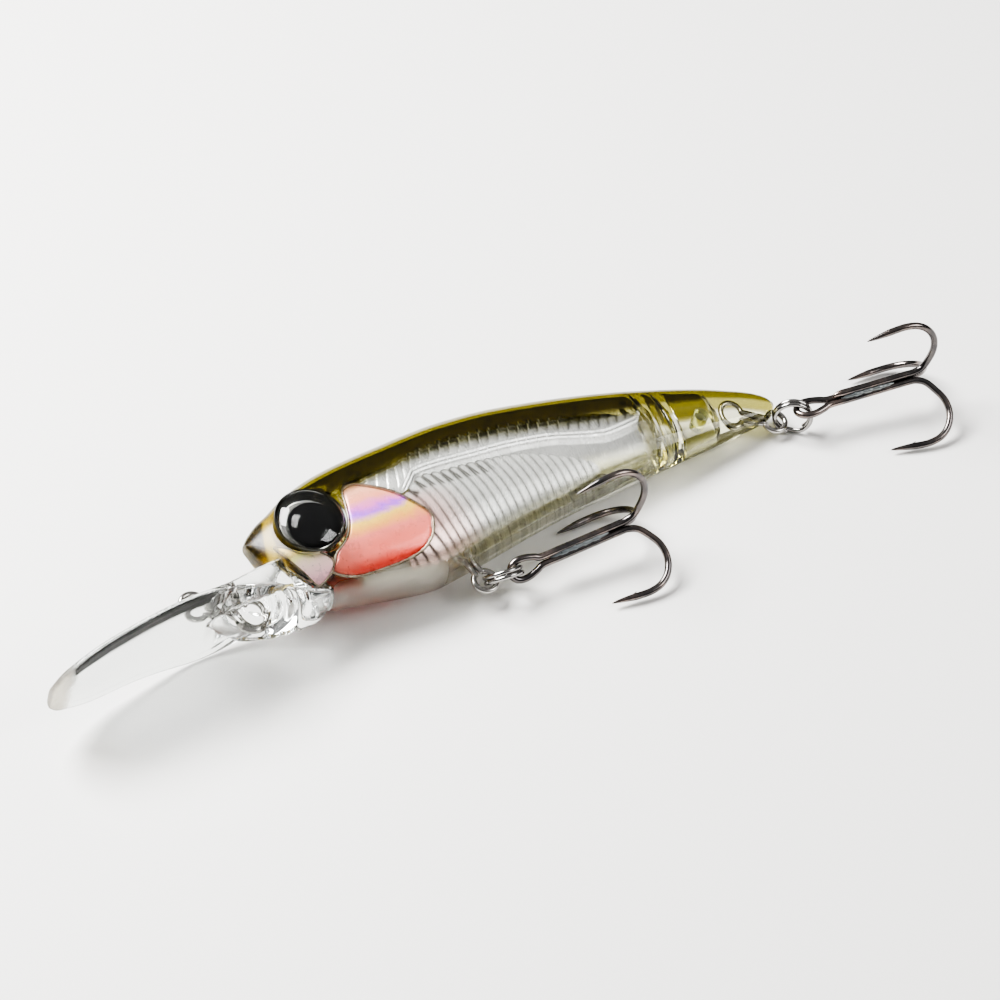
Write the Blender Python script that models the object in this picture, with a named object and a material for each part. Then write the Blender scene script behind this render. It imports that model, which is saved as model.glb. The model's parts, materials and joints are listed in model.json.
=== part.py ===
# Long-billed shad crankbait: two clear shell halves, a clear diving lip, figure-8 wires,
# foil inserts, domed eyes, split rings and treble hooks.
# Lure axes: u from nose to tail, v to the back, w to the left flank, in millimetres, nose tip at 0,0,0.
import math

import bmesh
import bpy
import numpy as np
from mathutils import Matrix, Vector

MM = 0.001

# ---- driving dimensions, mm and degrees ----
BODY_LENGTH = 62.0
WALL = 0.9                 # shell wall
SEAM = 0.03                # each half stops this far from the middle plane
SECTION_POWER = 2.35       # fullness of the body's cross-section
WIRE_R = 0.31              # hanger and line-tie wire
WIRE_FIT = 0.06            # room round a wire in its moulded channel
LOOP_R = 1.2               # centre-line radius of a wire loop
RING_R = 1.93              # split ring centre-line radius (4.36 mm outside)
RING_WIRE_R = 0.25
RING_PITCH = 0.53
HOOK_WIRE_R = 0.37
SHANK_OFF = 0.42           # strand offset in the shank
EYE_AT = 1.6               # ring's wire, from the tip of the hook's eye
ROLL, PITCH = 17.0, 5.5    # how the lure lies on its right side
EYE_C, EYE_R = (6.3, -1.1), 3.7

# body outline: (u, v) of the back and the belly, (u, half width)
BACK = [(0, .05), (.7, .8), (2, 1.75), (3.2, 2.35), (5.4, 3.65), (8.1, 4.8), (11, 5.6), (14.4, 6.25), (17.6, 6.75), (21.2, 7.3),
        (24.4, 7.65), (29.5, 7.8), (34.5, 7.5), (39.5, 7.0), (44.4, 6.3), (49.2, 5.35), (54.2, 4.15), (57.5, 3.1), (59.9, 2.2), (61.4, 1.4), (62, .7)]
BELLY = [(0, -.8), (.7, -3.5), (2, -6.4), (3.2, -7.9), (5.4, -8.95), (8.1, -9.3), (11, -9.55), (14.4, -9.85), (17.6, -9.9), (21.2, -9.2),
         (24.4, -8.4), (29.5, -7.05), (34.5, -5.9), (39.5, -4.95), (44.4, -4.1), (49.2, -3.35), (54.2, -2.55), (57.5, -2.0), (59.9, -1.55), (61.4, -1.1), (62, -.4)]
WIDTH = [(0, .7), (.7, 1.35), (2, 2.25), (3.2, 2.9), (5.4, 3.75), (8.1, 4.3), (11, 4.6), (14.4, 4.8), (17.6, 4.9), (21.2, 4.9),
         (24.4, 4.8), (29.5, 4.5), (34.5, 4.1), (39.5, 3.65), (44.4, 3.2), (49.2, 2.75), (54.2, 2.2), (57.5, 1.75), (59.9, 1.4), (61.4, 1.1), (62, .7)]
# lip blade: (u, v of the mid surface, half width)
BLADE = [(2.3, -6.5, 2.2), (.5, -6.65, 3.3), (-2, -6.8, 5.0), (-4.5, -6.95, 6.2), (-7.2, -7.1, 6.75), (-11, -7.4, 6.45), (-14, -7.85, 6.05),
         (-17, -8.5, 5.65), (-20, -9.25, 5.0), (-22.3, -9.85, 4.05), (-24.0, -10.35, 2.9), (-25.1, -10.7, 1.4)]
BLADE_T = 1.0
KEEL = [(-7.0, -6.9, -7.6, .5), (-5.6, -6.7, -8.9, 1.3), (-3.6, -6.5, -10.0, 1.9), (-1.0, -6.3, -10.35, 2.2), (1.6, -6.4, -10.25, 2.5), (4.0, -7.85, -9.8, 2.5), (5.45, -8.35, -9.15, 2.1)]
CHIN = [(-4, -2.6), (.9, -3.2), (4.2, -7.6), (5.7, -8.1), (5.7, -13), (-4, -13)]
# wire figure-8s: (embedded ring centre, free loop centre)
LINE_TIE = ((-2.45, -7.9), (-7.5, -5.3))
BELLY_TIE = ((21.0, -6.4), (22.3, -11.0))
TAIL_TIE = ((56.6, .2), (61.3, -1.75))

for old in list(bpy.data.objects):
    bpy.data.objects.remove(old, do_unlink=True)

parts = bpy.data.collections.new("crankbait_lure")
cutters = bpy.data.collections.new("cutters")
for c in (parts, cutters):
    bpy.context.scene.collection.children.link(c)
cutters.hide_render = True


def material(name, colour, rough, metal=0.0, glass=0.0):
    m = bpy.data.materials.new(name)
    m.use_nodes = True
    b = m.node_tree.nodes["Principled BSDF"]
    b.inputs["Base Color"].default_value = (*colour, 1)
    b.inputs["Roughness"].default_value = rough
    b.inputs["Metallic"].default_value = metal
    b.inputs["Transmission Weight"].default_value = glass
    m.diffuse_color = (*colour, 1)
    return m


M_SHELL = material("tinted_clear_shell", (.62, .62, .38), .08, 0, .8)
M_LIP = material("clear_lip", (.85, .88, .86), .05, 0, .9)
M_STEEL = material("bright_steel", (.75, .74, .72), .2, 1)
M_HOOK = material("dark_nickel", (.16, .15, .15), .25, 1)
M_SILVER = material("silver_plate", (.78, .79, .76), .3, .8)
M_PINK = material("pink_foil", (.9, .55, .58), .3, .4)
M_PALE = material("pale_foil", (.93, .86, .78), .3, .4)
M_IRIS = material("silver_iris", (.85, .85, .82), .25, .7)
M_BLACK = material("black_pupil", (.01, .01, .012), .1)
M_LENS = material("clear_lens", (.9, .92, .9), .03, 0, .9)
M_LEAD = material("ballast", (.35, .36, .38), .5, 1)


def empty(name, parent, matrix):
    e = bpy.data.objects.new(name, None)
    parts.objects.link(e)
    e.empty_display_size = .003
    e.parent = parent
    e.matrix_local = matrix
    return e


lie = Matrix.Rotation(math.radians(PITCH), 4, "Y") @ Matrix.Rotation(math.radians(ROLL), 4, "X")
LURE = empty("lure_axes", None, lie)


def add(name, mesh, mat, parent=None, cutter=False):
    o = bpy.data.objects.new(name, mesh)
    (cutters if cutter else parts).objects.link(o)
    o.parent = parent or LURE
    if cutter:
        o.hide_render = True
        o.display_type = "WIRE"
    else:
        mesh.materials.append(mat)
        mesh.shade_smooth()
        if hasattr(mesh, "set_sharp_from_angle"):
            mesh.set_sharp_from_angle(angle=math.radians(35))
    return o


def mesh_of(name, points, faces, cap_rings=()):
    bm = bmesh.new()
    vs = [bm.verts.new(Vector(p) * MM) for p in points]
    for f in faces:
        bm.faces.new([vs[i] for i in f])
    bmesh.ops.recalc_face_normals(bm, faces=bm.faces)
    me = bpy.data.meshes.new(name)
    bm.to_mesh(me)
    bm.free()
    return me


def loft(name, rings):
    """A closed solid through rings of equal point count."""
    n = len(rings[0])
    points = [p for r in rings for p in r]
    faces = [tuple(reversed(range(n)))]
    for i in range(len(rings) - 1):
        for j in range(n):
            a, b = i * n + j, i * n + (j + 1) % n
            faces.append((a, b, b + n, a + n))
    faces.append(tuple(range((len(rings) - 1) * n, len(rings) * n)))
    return mesh_of(name, points, faces)


def curve_at(table, u):
    """Smooth value of a table at u: a Catmull-Rom through its points."""
    t = np.array(table, float)
    i = int(np.clip(np.searchsorted(t[:, 0], u) - 1, 0, len(t) - 2))
    h = t[i + 1, 0] - t[i, 0]
    s = (u - t[i, 0]) / h
    m0 = (t[i + 1, 1] - t[i - 1, 1]) / (t[i + 1, 0] - t[i - 1, 0]) if i > 0 else (t[1, 1] - t[0, 1]) / h
    m1 = (t[i + 2, 1] - t[i, 1]) / (t[i + 2, 0] - t[i, 0]) if i + 2 < len(t) else (t[-1, 1] - t[-2, 1]) / h
    return ((2 * s**3 - 3 * s**2 + 1) * t[i, 1] + (s**3 - 2 * s**2 + s) * h * m0
            + (3 * s**2 - 2 * s**3) * t[i + 1, 1] + (s**3 - s**2) * h * m1)


def section(u, inset=0.0):
    """(middle v, half depth, half width) of the body at u, drawn in by inset."""
    t, b, w = curve_at(BACK, u), curve_at(BELLY, u), curve_at(WIDTH, u)
    return (t + b) / 2, (t - b) / 2 - inset, w - inset


def half_ring(u, inset, flat_w, side, n):
    """Arc from belly to back on one side, closed along the plane w = flat_w."""
    c, d, w = section(u, inset)
    ring = []
    for j in range(n + 1):
        a = -math.pi / 2 + math.pi * j / n
        sv = math.copysign(abs(math.sin(a)) ** (2 / SECTION_POWER), math.sin(a))
        sw = abs(math.cos(a)) ** (2 / SECTION_POWER)
        ww = w * sw
        if j in (0, n):
            ww = flat_w
        ring.append((u, c + d * sv, side * max(ww, flat_w)))
    return ring


def full_ring(u, inset, n, bottom=None, top=None):
    c, d, w = section(u, inset)
    ring = []
    for j in range(n):
        a = 2 * math.pi * j / n
        sv = math.copysign(abs(math.sin(a)) ** (2 / SECTION_POWER), math.sin(a))
        sw = math.copysign(abs(math.cos(a)) ** (2 / SECTION_POWER), math.cos(a))
        ring.append([u, c + d * sv, w * sw])
    return ring


def surface_w(u, v, inset):
    """Half width of the body, drawn in by inset, at u and v."""
    c, d, w = section(u, inset)
    t = min(.999, abs((v - c) / d))
    return w * (1 - t**SECTION_POWER) ** (1 / SECTION_POWER)


def modifier(o, kind, other):
    m = o.modifiers.new(kind.lower() + "_" + other.name, "BOOLEAN")
    m.operation = kind
    m.object = other
    m.solver = "EXACT"
    return m


def prism(name, outline, low, high, axis="w", cutter=True, mat=None):
    """A flat outline in u, v pushed along w from low to high."""
    rings = [[(p[0], p[1], w) for p in outline] for w in (low, high)]
    return add(name, loft(name, rings), mat, cutter=cutter)


def cylinder(name, centre, r, low, high, n=20, cutter=True, mat=None):
    ring = [(centre[0] + r * math.cos(2 * math.pi * i / n), centre[1] + r * math.sin(2 * math.pi * i / n)) for i in range(n)]
    return prism(name, ring, low, high, cutter=cutter, mat=mat)


# ---- wires ----
def figure8(ring, loop, r=LOOP_R, gap=.40, n=14):
    """Closed centre line of a wire bent into two rings joined by a two-strand neck."""
    a, b = np.array(ring, float), np.array(loop, float)
    d = (b - a) / np.linalg.norm(b - a)
    q = np.array([-d[1], d[0]])
    open_angle = math.asin(gap / r)
    pts = []
    for i in range(n + 1):   # round the free loop
        t = math.pi - open_angle - (2 * math.pi - 2 * open_angle) * i / n
        pts.append(b + r * (math.cos(t) * d + math.sin(t) * q))
    for s in (.33, .67):
        pts.append(pts[n] + (a + d * r * math.cos(open_angle) - q * gap - pts[n]) * s)
    for i in range(n + 1):
        t = -open_angle - (2 * math.pi - 2 * open_angle) * i / n
        pts.append(a + r * (math.cos(t) * d + math.sin(t) * q))
    first, last = pts[0], pts[-1]
    for s in (.33, .67):
        pts.append(last + (first - last) * s)
    return [(p[0], p[1], 0) for p in pts]


def wire_curve(name, points, radius, cyclic, radii=None, resolution=2):
    cu = bpy.data.curves.new(name, "CURVE")
    cu.dimensions = "3D"
    cu.bevel_depth = radius * MM
    cu.bevel_resolution = resolution
    cu.use_fill_caps = True
    cu.twist_mode = "MINIMUM"
    sp = cu.splines.new("POLY")
    sp.points.add(len(points) - 1)
    for i, p in enumerate(points):
        sp.points[i].co = (*(Vector(p) * MM), 1)
        sp.points[i].radius = radii[i] if radii else 1
    sp.use_cyclic_u = cyclic
    return cu


def wire(name, points, radius, mat, cyclic=False, parent=None, radii=None, cutter=False, resolution=2):
    """A round wire as a mesh: the curve's own caps welded to its sides."""
    cu = wire_curve(name + "_line", points, radius, cyclic, radii, resolution)
    tmp = bpy.data.objects.new(name + "_line", cu)
    parts.objects.link(tmp)
    bpy.context.view_layer.update()
    graph = bpy.context.evaluated_depsgraph_get()
    me = bpy.data.meshes.new_from_object(tmp.evaluated_get(graph))
    bm = bmesh.new()
    bm.from_mesh(me)
    bmesh.ops.remove_doubles(bm, verts=bm.verts, dist=1e-6)
    bmesh.ops.recalc_face_normals(bm, faces=bm.faces)
    bm.to_mesh(me)
    bm.free()
    me.materials.clear()
    bpy.data.objects.remove(tmp, do_unlink=True)
    bpy.data.curves.remove(cu)
    return add(name, me, mat, parent, cutter)


wires = {}
for name, (ring, loop) in (("line_tie_wire", LINE_TIE), ("belly_hanger_wire", BELLY_TIE), ("tail_hanger_wire", TAIL_TIE)):
    wires[name] = wire(name, figure8(ring, loop), WIRE_R, M_STEEL, cyclic=True)
    wires[name + "_room"] = wire(name + "_room", figure8(ring, loop), WIRE_R + WIRE_FIT, None, cyclic=True, cutter=True)

# ---- shell halves ----
STATIONS = [0, .35, .9, 1.8, 3.0, 4.4, 6.0, 8.0, 10.5, 13, 16, 19, 22, 25.5, 29.5, 33.5, 37.5, 41.5, 45.5, 49, 52.5, 55.5, 58, 60, 61.2, 61.75, 62]
CHAMBERS = [("front", [3.0, 4.4, 6.0, 8.0, 10.5, 13, 16, 19, 22, 25.5, 29.5, 33.5, 37.5, 41.5, 45.5, 48.6]), ("tail", [49.5, 51, 52.5, 54.4])]
for side, s in (("left", 1), ("right", -1)):
    shell = add(side + "_shell", loft(side + "_shell", [half_ring(u, 0, SEAM, s, 14) for u in STATIONS]), M_SHELL)
    posts = [cylinder(f"{side}_eye_boss", EYE_C, EYE_R + .8, s * 1.7 if s > 0 else -9, 9 if s > 0 else -1.7, 24),
             prism(f"{side}_belly_boss", [(BELLY_TIE[0][0] + 2 * math.cos(math.pi * i / 10), BELLY_TIE[0][1] + 2 * math.sin(math.pi * i / 10)) for i in range(11)]
                   + [(19.0, -9.6), (23.0, -9.4)], *sorted((s * SEAM, s * 1.5))),
             cylinder(f"{side}_back_post", (44.6, 3.2), .75, min(0, s * 9) + (s > 0) * SEAM, max(0, s * 9) - (s < 0) * SEAM, 12),
             cylinder(f"{side}_tail_post", (53.0, .6), .8, min(0, s * 9) + (s > 0) * SEAM, max(0, s * 9) - (s < 0) * SEAM, 12)]
    for cname, us in CHAMBERS:
        ch = add(f"{side}_{cname}_chamber", loft("c", [half_ring(u, WALL, -.6, s, 18) for u in us]), None, cutter=True)
        for p in posts if cname == "front" else posts[3:]:
            if cname == "front" and p.name.endswith("tail_post"):
                continue
            modifier(ch, "DIFFERENCE", p)
        modifier(shell, "DIFFERENCE", ch)
    socket = cylinder(f"{side}_eye_socket", EYE_C, EYE_R, 2.55 if s > 0 else -9, 9 if s > 0 else -2.55, 28)
    modifier(shell, "DIFFERENCE", socket)
    modifier(shell, "DIFFERENCE", prism(f"{side}_chin_cut", CHIN, -9, 9))
    for w in ("belly_hanger_wire", "tail_hanger_wire"):
        modifier(shell, "DIFFERENCE", wires[w + "_room"])

# ---- diving lip ----
def blade_ring(u, v, b, n=8):
    """Rounded strip across the blade, its edges drooping a little."""
    out = []
    for face in (1, -1):
        for i in range(n + 1):
            x = face * (-1 + 2 * i / n)
            w = b * x
            t = BLADE_T / 2 * (1 - .55 * abs(x) ** 6)
            out.append((u, v - .35 * (b / 6.7) * x * x + face * t, w))
    return out


lip = add("diving_lip", loft("diving_lip", [blade_ring(*s) for s in BLADE]), M_LIP)


def keel_ring(u, top, bottom, w, n=14):
    c, d = (top + bottom) / 2, (top - bottom) / 2
    out = []
    for j in range(n):
        a = 2 * math.pi * j / n
        out.append((u, c + d * math.copysign(abs(math.sin(a)) ** .85, math.sin(a)), w * math.copysign(abs(math.cos(a)) ** .85, math.cos(a))))
    return out


keel = add("lip_keel", loft("lip_keel", [keel_ring(*k) for k in KEEL]), None, cutter=True)
chin = add("lip_chin", loft("lip_chin", [full_ring(u, 0, 24) for u in (.55, 1.2, 2.2, 3.4, 4.6, 6.2)]), None, cutter=True)
CHIN_FIT = [(-4, -2.75), (.8, -3.34), (4.12, -7.72), (5.6, -8.2), (5.6, -13), (-4, -13)]
modifier(chin, "INTERSECT", prism("lip_chin_limit", CHIN_FIT, -9, 9))
for p in (keel, chin):
    modifier(lip, "UNION", p)
modifier(lip, "DIFFERENCE", wires["line_tie_wire_room"])

# ---- keel weight: a casting seated on the belly between the halves ----
def weight_ring(u, top, n=14):
    c, d, w = section(u, WALL + .75)
    out = []
    low = c - d + .02
    for j in range(n + 1):
        x = -1 + 2 * j / n
        a = x * math.pi / 2
        v = top - (top - low) * math.cos(a)
        out.append((u, v, math.copysign(surface_w(u, v, WALL + .75), x) if abs(x) > 1e-6 else 0))
    return out


weight = add("keel_weight", loft("keel_weight", [weight_ring(u, -6.2) for u in (10.0, 12, 14, 16, 18.4)]), M_LEAD)

# ---- foil inserts: thin plates on the inside of each shell ----
def plate(name, side, us, low, high, mat, rows=4, gap=.22, thick=.2):
    """A plate between two outline curves, following the shell's inner wall."""
    pts, faces = [], []
    cols = len(us)
    for layer in (0, 1):
        inset = WALL + gap + thick * layer
        for i, u in enumerate(us):
            for j in range(rows + 1):
                v = low[i] + (high[i] - low[i]) * j / rows
                pts.append((u, v, side * surface_w(u, v, inset)))
    n = cols * (rows + 1)
    at = lambda layer, i, j: layer * n + i * (rows + 1) + j
    for i in range(cols - 1):
        for j in range(rows):
            faces.append((at(0, i, j), at(0, i + 1, j), at(0, i + 1, j + 1), at(0, i, j + 1)))
            faces.append((at(1, i, j), at(1, i, j + 1), at(1, i + 1, j + 1), at(1, i + 1, j)))
        for j in (0, rows):
            faces.append((at(0, i, j), at(1, i, j), at(1, i + 1, j), at(0, i + 1, j)))
    for i in (0, cols - 1):
        for j in range(rows):
            faces.append((at(0, i, j), at(0, i, j + 1), at(1, i, j + 1), at(1, i, j)))
    return add(name, mesh_of(name, pts, faces), mat)


def outline(us, table):
    return [float(curve_at(table, u)) for u in us]


GILL_U = [9.6, 10.7, 11.35, 11.8, 13, 14.4, 15.8, 17.0, 17.8]
GILL_LOW = [(9.6, -7.6), (11.6, -7.8), (13, -7.8), (15.5, -7.1), (17.0, -6.1), (17.8, -5.3)]
GILL_HIGH = [(9.6, -5.0), (10.7, -3.7), (11.35, -1.7), (11.8, .7), (13, 1.0), (15.4, -.4), (17.0, -2.2), (17.8, -3.9)]
JAW_U = [3.4, 4.3, 5.2, 6.0, 6.8]
JAW_LOW = [(3.4, -6.2), (4.3, -7.0), (5.2, -7.35), (6.0, -7.5), (6.8, -7.3)]
JAW_HIGH = [(3.4, -4.85), (4.3, -5.45), (5.2, -5.75), (6.0, -5.85), (6.8, -5.85)]
SPINE_U = [13.6, 16, 18.2, 20, 23, 26, 29.5, 33.5, 37.5, 41.5, 43.6]
SPINE_LOW = [(13.6, 1.3), (16, -.1), (18.2, .2), (20, .7), (23, .75), (27.5, .7), (31, .3), (33.2, -.6), (35.4, -1.4), (38.3, -3.3), (41.5, -2.6), (43.6, -2.2)]
SPINE_HIGH = [(13.6, 2.2), (17.2, 2.9), (19.3, 3.3), (22.2, 3.7), (24.8, 3.8), (29.7, 3.6), (34.6, 3.1), (39.4, 2.3), (43.6, 1.6)]
RIB_U = [15.2, 17, 18.9, 23.4, 26, 29, 32, 35, 37.6]
RIB_LOW = [(15.2, -8.0), (17, -8.1), (18.9, -7.9), (23.4, -6.7), (26, -6.1), (29, -5.4), (32, -4.8), (35, -4.2), (37.6, -3.8)]
RIB_HIGH = [(15.2, -7.5), (17, -6.4), (18.9, -4.0), (23.4, .3), (26, .35), (29, .15), (32, -.6), (35, -1.9), (37.6, -3.3)]
for side, s in (("left", 1), ("right", -1)):
    plate(side + "_gill_plate", s, GILL_U, outline(GILL_U, GILL_LOW), outline(GILL_U, GILL_HIGH), M_PINK)
    plate(side + "_jaw_plate", s, JAW_U, outline(JAW_U, JAW_LOW), outline(JAW_U, JAW_HIGH), M_PALE, rows=2)
    plate(side + "_spine_plate", s, SPINE_U, outline(SPINE_U, SPINE_LOW), outline(SPINE_U, SPINE_HIGH), M_SILVER, rows=3)
    plate(side + "_rib_plate", s, RIB_U, outline(RIB_U, RIB_LOW), outline(RIB_U, RIB_HIGH), M_SILVER, rows=4)

# ---- eyes ----
def turned(name, profile, mat, side, steps=24):
    """A profile (radius, height along w) turned about the eye's axis."""
    n = steps
    pts, faces = [], []
    for r, h in profile:
        if r < 1e-6:
            pts.append([(EYE_C[0], EYE_C[1], side * h)])
        else:
            pts.append([(EYE_C[0] + r * math.cos(2 * math.pi * k / n), EYE_C[1] + r * math.sin(2 * math.pi * k / n), side * h) for k in range(n)])
    flat, start = [], []
    for ring in pts:
        start.append(len(flat))
        flat += ring
    for i in range(len(pts) - 1):
        a, b = pts[i], pts[i + 1]
        for k in range(n):
            k2 = (k + 1) % n
            if len(a) == 1:
                faces.append((start[i], start[i + 1] + k, start[i + 1] + k2))
            elif len(b) == 1:
                faces.append((start[i] + k, start[i + 1], start[i] + k2))
            else:
                faces.append((start[i] + k, start[i + 1] + k, start[i + 1] + k2, start[i] + k2))
    return add(name, mesh_of(name, flat, faces), mat)


for side, s in (("left", 1), ("right", -1)):
    turned(side + "_eye_iris", [(0, 2.62), (3.6, 2.62), (3.6, 3.35), (3.3, 3.35), (3.0, 3.0), (2.3, 2.9), (0, 2.9)], M_IRIS, s)
    turned(side + "_eye_pupil", [(0, 2.98), (2.1, 2.98), (2.15, 3.25), (1.9, 3.6), (1.3, 3.9), (.6, 4.03), (0, 4.05)], M_BLACK, s)
    turned(side + "_eye_lens", [(0, 4.5), (1.3, 4.4), (2.3, 4.12), (3.0, 3.75), (3.62, 3.42), (3.62, 3.85), (3.0, 4.25), (2.3, 4.6), (1.3, 4.87), (0, 4.97)], M_LENS, s)

# ---- split rings and treble hooks ----
HOOK_PATH = [(10.2, .43), (11.4, .45), (12.6, .5), (13.7, .72), (14.7, 1.25), (15.5, 2.1), (16.0, 3.2), (16.1, 4.4), (15.8, 5.5), (15.1, 6.5), (14.1, 7.15), (12.9, 7.4), (11.7, 7.35), (10.5, 7.2), (9.4, 7.05), (8.5, 6.95)]
HOOK_RADII = [1] * 12 + [.95, .8, .5, .12]


def hook_points(direction, start_dir, out0):
    """Centre line of one hook from the shank to its point, in (along, q, n)."""
    pts = []
    d, s0 = np.array(direction, float), np.array(start_dir, float)
    for a, r in HOOK_PATH:
        t = min(1, max(0, (r - .5) / 1.2))
        base = s0 * out0 * (1 - t) + d * r * t if r < 1.7 else d * r
        pts.append((a, base[0], base[1]))
    return pts


def treble(prefix, parent):
    """Both wires of a treble in its own frame: x along the shank from the eye's tip, y across the eye, z to the third hook."""
    eye = [(4.0, SHANK_OFF), (3.2, .72), (2.3, 1.0), (1.5, 1.06), (.85, .85), (.48, .42), (.37, 0)]
    up = [(a, y, 0) for a, y in eye]
    side_a = hook_points((.866, -.5), (1, 0), SHANK_OFF)
    side_b = [(a, -y, z) for a, y, z in side_a]
    shank = [(8.0, SHANK_OFF, 0), (6.0, SHANK_OFF, 0)]
    line = [p for p in reversed(side_a)] + shank + up + [(a, -y, 0) for a, y in reversed(eye[:-1])] + [(a, -y, z) for a, y, z in reversed(shank)] + side_b
    radii = list(reversed(HOOK_RADII)) + [1] * (len(line) - 2 * len(HOOK_RADII)) + HOOK_RADII
    double = wire(prefix + "_treble_double", line, HOOK_WIRE_R, M_HOOK, parent=parent, radii=radii)
    third = [(4.9, 0, .76), (7.5, 0, .74)] + hook_points((0, 1), (0, 1), .74)
    single = wire(prefix + "_treble_third", third, HOOK_WIRE_R, M_HOOK, parent=parent, radii=[.6, 1] + HOOK_RADII)
    return double, single


def basis(x, z):
    """Rotation whose x column is x and whose z column is nearest z."""
    x = Vector(x).normalized()
    z = Vector(z)
    z = (z - x * z.dot(x)).normalized()
    y = z.cross(x)
    return Matrix((x, y, z)).transposed().to_4x4()


def heading(azimuth, rise):
    a, r = math.radians(azimuth), math.radians(rise)
    return Vector((math.cos(a) * math.cos(r), math.sin(a) * math.cos(r), math.sin(r)))


def rig(prefix, loop, pull, ring_heading, ring_roll, hook_turn, shank_heading, third_deg):
    """Ring and treble on a loop, as they lie at rest. The ring turns about w through the loop's centre, the treble about the
    ring's own axis through its centre. Headings are (azimuth, rise) in degrees on the ground the lure lies on."""
    e = heading(*ring_heading)
    n = Matrix.Rotation(math.radians(ring_roll), 3, e) @ Vector((0, 0, 1)).cross(e).normalized()
    to_lure = lie.to_3x3().inverted()
    pivot = empty(prefix + "_ring_axis", LURE, Matrix.Translation(Vector((*loop, 0)) * MM) @ basis(to_lure @ e, to_lure @ n))
    pts, steps = [], 33
    for i in range(steps + 1):
        # two flat turns with a short jog where the ends lie, at the side of the ring
        turn = 30 + 660 * i / steps
        jog = min(1, max(0, (turn - 330) / 60))
        t = math.radians(turn + 100)
        pts.append((RING_R + pull + RING_R * math.cos(t), RING_R * math.sin(t), RING_PITCH * (jog * jog * (3 - 2 * jog) - .5)))
    ring = wire(prefix + "_split_ring", pts, RING_WIRE_R, M_STEEL, parent=pivot, resolution=1)
    # the treble's eye sits on the ring, turned about the ring's axis
    hub = empty(prefix + "_hook_axis", pivot, Matrix.Translation(Vector((RING_R + pull, 0, 0)) * MM))
    inv = (LURE.matrix_local @ pivot.matrix_local).to_3x3().inverted()
    s = heading(*shank_heading)
    across = Vector((0, 0, 1)).cross(s).normalized()
    third = across * math.sin(math.radians(third_deg)) + s.cross(across) * math.cos(math.radians(third_deg))
    local = basis(inv @ s, inv @ third)
    grip = Matrix.Rotation(math.radians(hook_turn), 3, "Z") @ Vector((RING_R, 0, 0))
    hook = empty(prefix + "_hook", hub, Matrix.Translation((grip - local.to_3x3() @ Vector((EYE_AT, 0, 0))) * MM) @ local)
    treble(prefix, hook)


rig("belly", BELLY_TIE[1], 0, (-15.5, 12.9), 46.6, 0, (0, 5), 121)
rig("tail", TAIL_TIE[1], .1, (-27.4, 20), 0, -17, (-8.8, 5), 0)

# ---- stand the lure on z = 0 with its middle over the origin ----
bpy.context.view_layer.update()
graph = bpy.context.evaluated_depsgraph_get()
low, high = Vector((1e9,) * 3), Vector((-1e9,) * 3)
for o in parts.objects:
    if o.type != "MESH":
        continue
    ev = o.evaluated_get(graph)
    me = ev.to_mesh()
    for v in me.vertices:
        p = ev.matrix_world @ v.co
        low = Vector(map(min, low, p))
        high = Vector(map(max, high, p))
    ev.to_mesh_clear()
LURE.location = (-(low.x + high.x) / 2, -(low.y + high.y) / 2, -low.z)
bpy.context.view_layer.update()
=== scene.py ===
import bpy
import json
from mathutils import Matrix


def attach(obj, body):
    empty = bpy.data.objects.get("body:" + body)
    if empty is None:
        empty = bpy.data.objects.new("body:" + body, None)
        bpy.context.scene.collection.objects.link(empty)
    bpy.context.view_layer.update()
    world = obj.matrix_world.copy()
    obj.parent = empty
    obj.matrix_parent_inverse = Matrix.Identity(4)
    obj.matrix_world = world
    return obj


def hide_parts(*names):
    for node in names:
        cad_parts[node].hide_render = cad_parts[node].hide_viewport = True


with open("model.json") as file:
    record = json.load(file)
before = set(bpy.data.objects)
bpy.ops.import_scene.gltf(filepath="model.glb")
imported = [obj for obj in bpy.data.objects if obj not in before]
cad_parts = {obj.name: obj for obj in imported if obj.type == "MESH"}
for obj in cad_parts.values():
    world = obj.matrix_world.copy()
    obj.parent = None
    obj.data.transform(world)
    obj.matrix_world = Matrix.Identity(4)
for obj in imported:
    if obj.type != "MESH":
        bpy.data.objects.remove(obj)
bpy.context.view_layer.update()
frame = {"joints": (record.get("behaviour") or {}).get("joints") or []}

import json
import math

import bmesh
import bpy
import numpy as np
from mathutils import Matrix, Vector

MM = 0.001
C = bpy.context.scene.collection

# ---------------------------------------------------------------- the lure's own axes, from the record's joints
joint = {j["name"]: j for j in frame["joints"]}
W_AXIS = Vector(joint["belly_ring_swing"]["axis"]).normalized()
BELLY_LOOP, TAIL_LOOP = (22.3, -11.0), (61.3, -1.75)
_b = Vector(joint["belly_ring_swing"]["pos_m"])
_t = Vector(joint["tail_ring_swing"]["pos_m"])
_d = (_t - _b).normalized()
_phi = math.atan2(TAIL_LOOP[1] - BELLY_LOOP[1], TAIL_LOOP[0] - BELLY_LOOP[0])
U_AXIS = Matrix.Rotation(-_phi, 3, W_AXIS) @ _d
U_AXIS = (U_AXIS - W_AXIS * U_AXIS.dot(W_AXIS)).normalized()
V_AXIS = W_AXIS.cross(U_AXIS)
_o = _b - U_AXIS * BELLY_LOOP[0] * MM - V_AXIS * BELLY_LOOP[1] * MM
LURE = Matrix((U_AXIS, V_AXIS, W_AXIS)).transposed().to_4x4()
LURE.translation = _o

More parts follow.
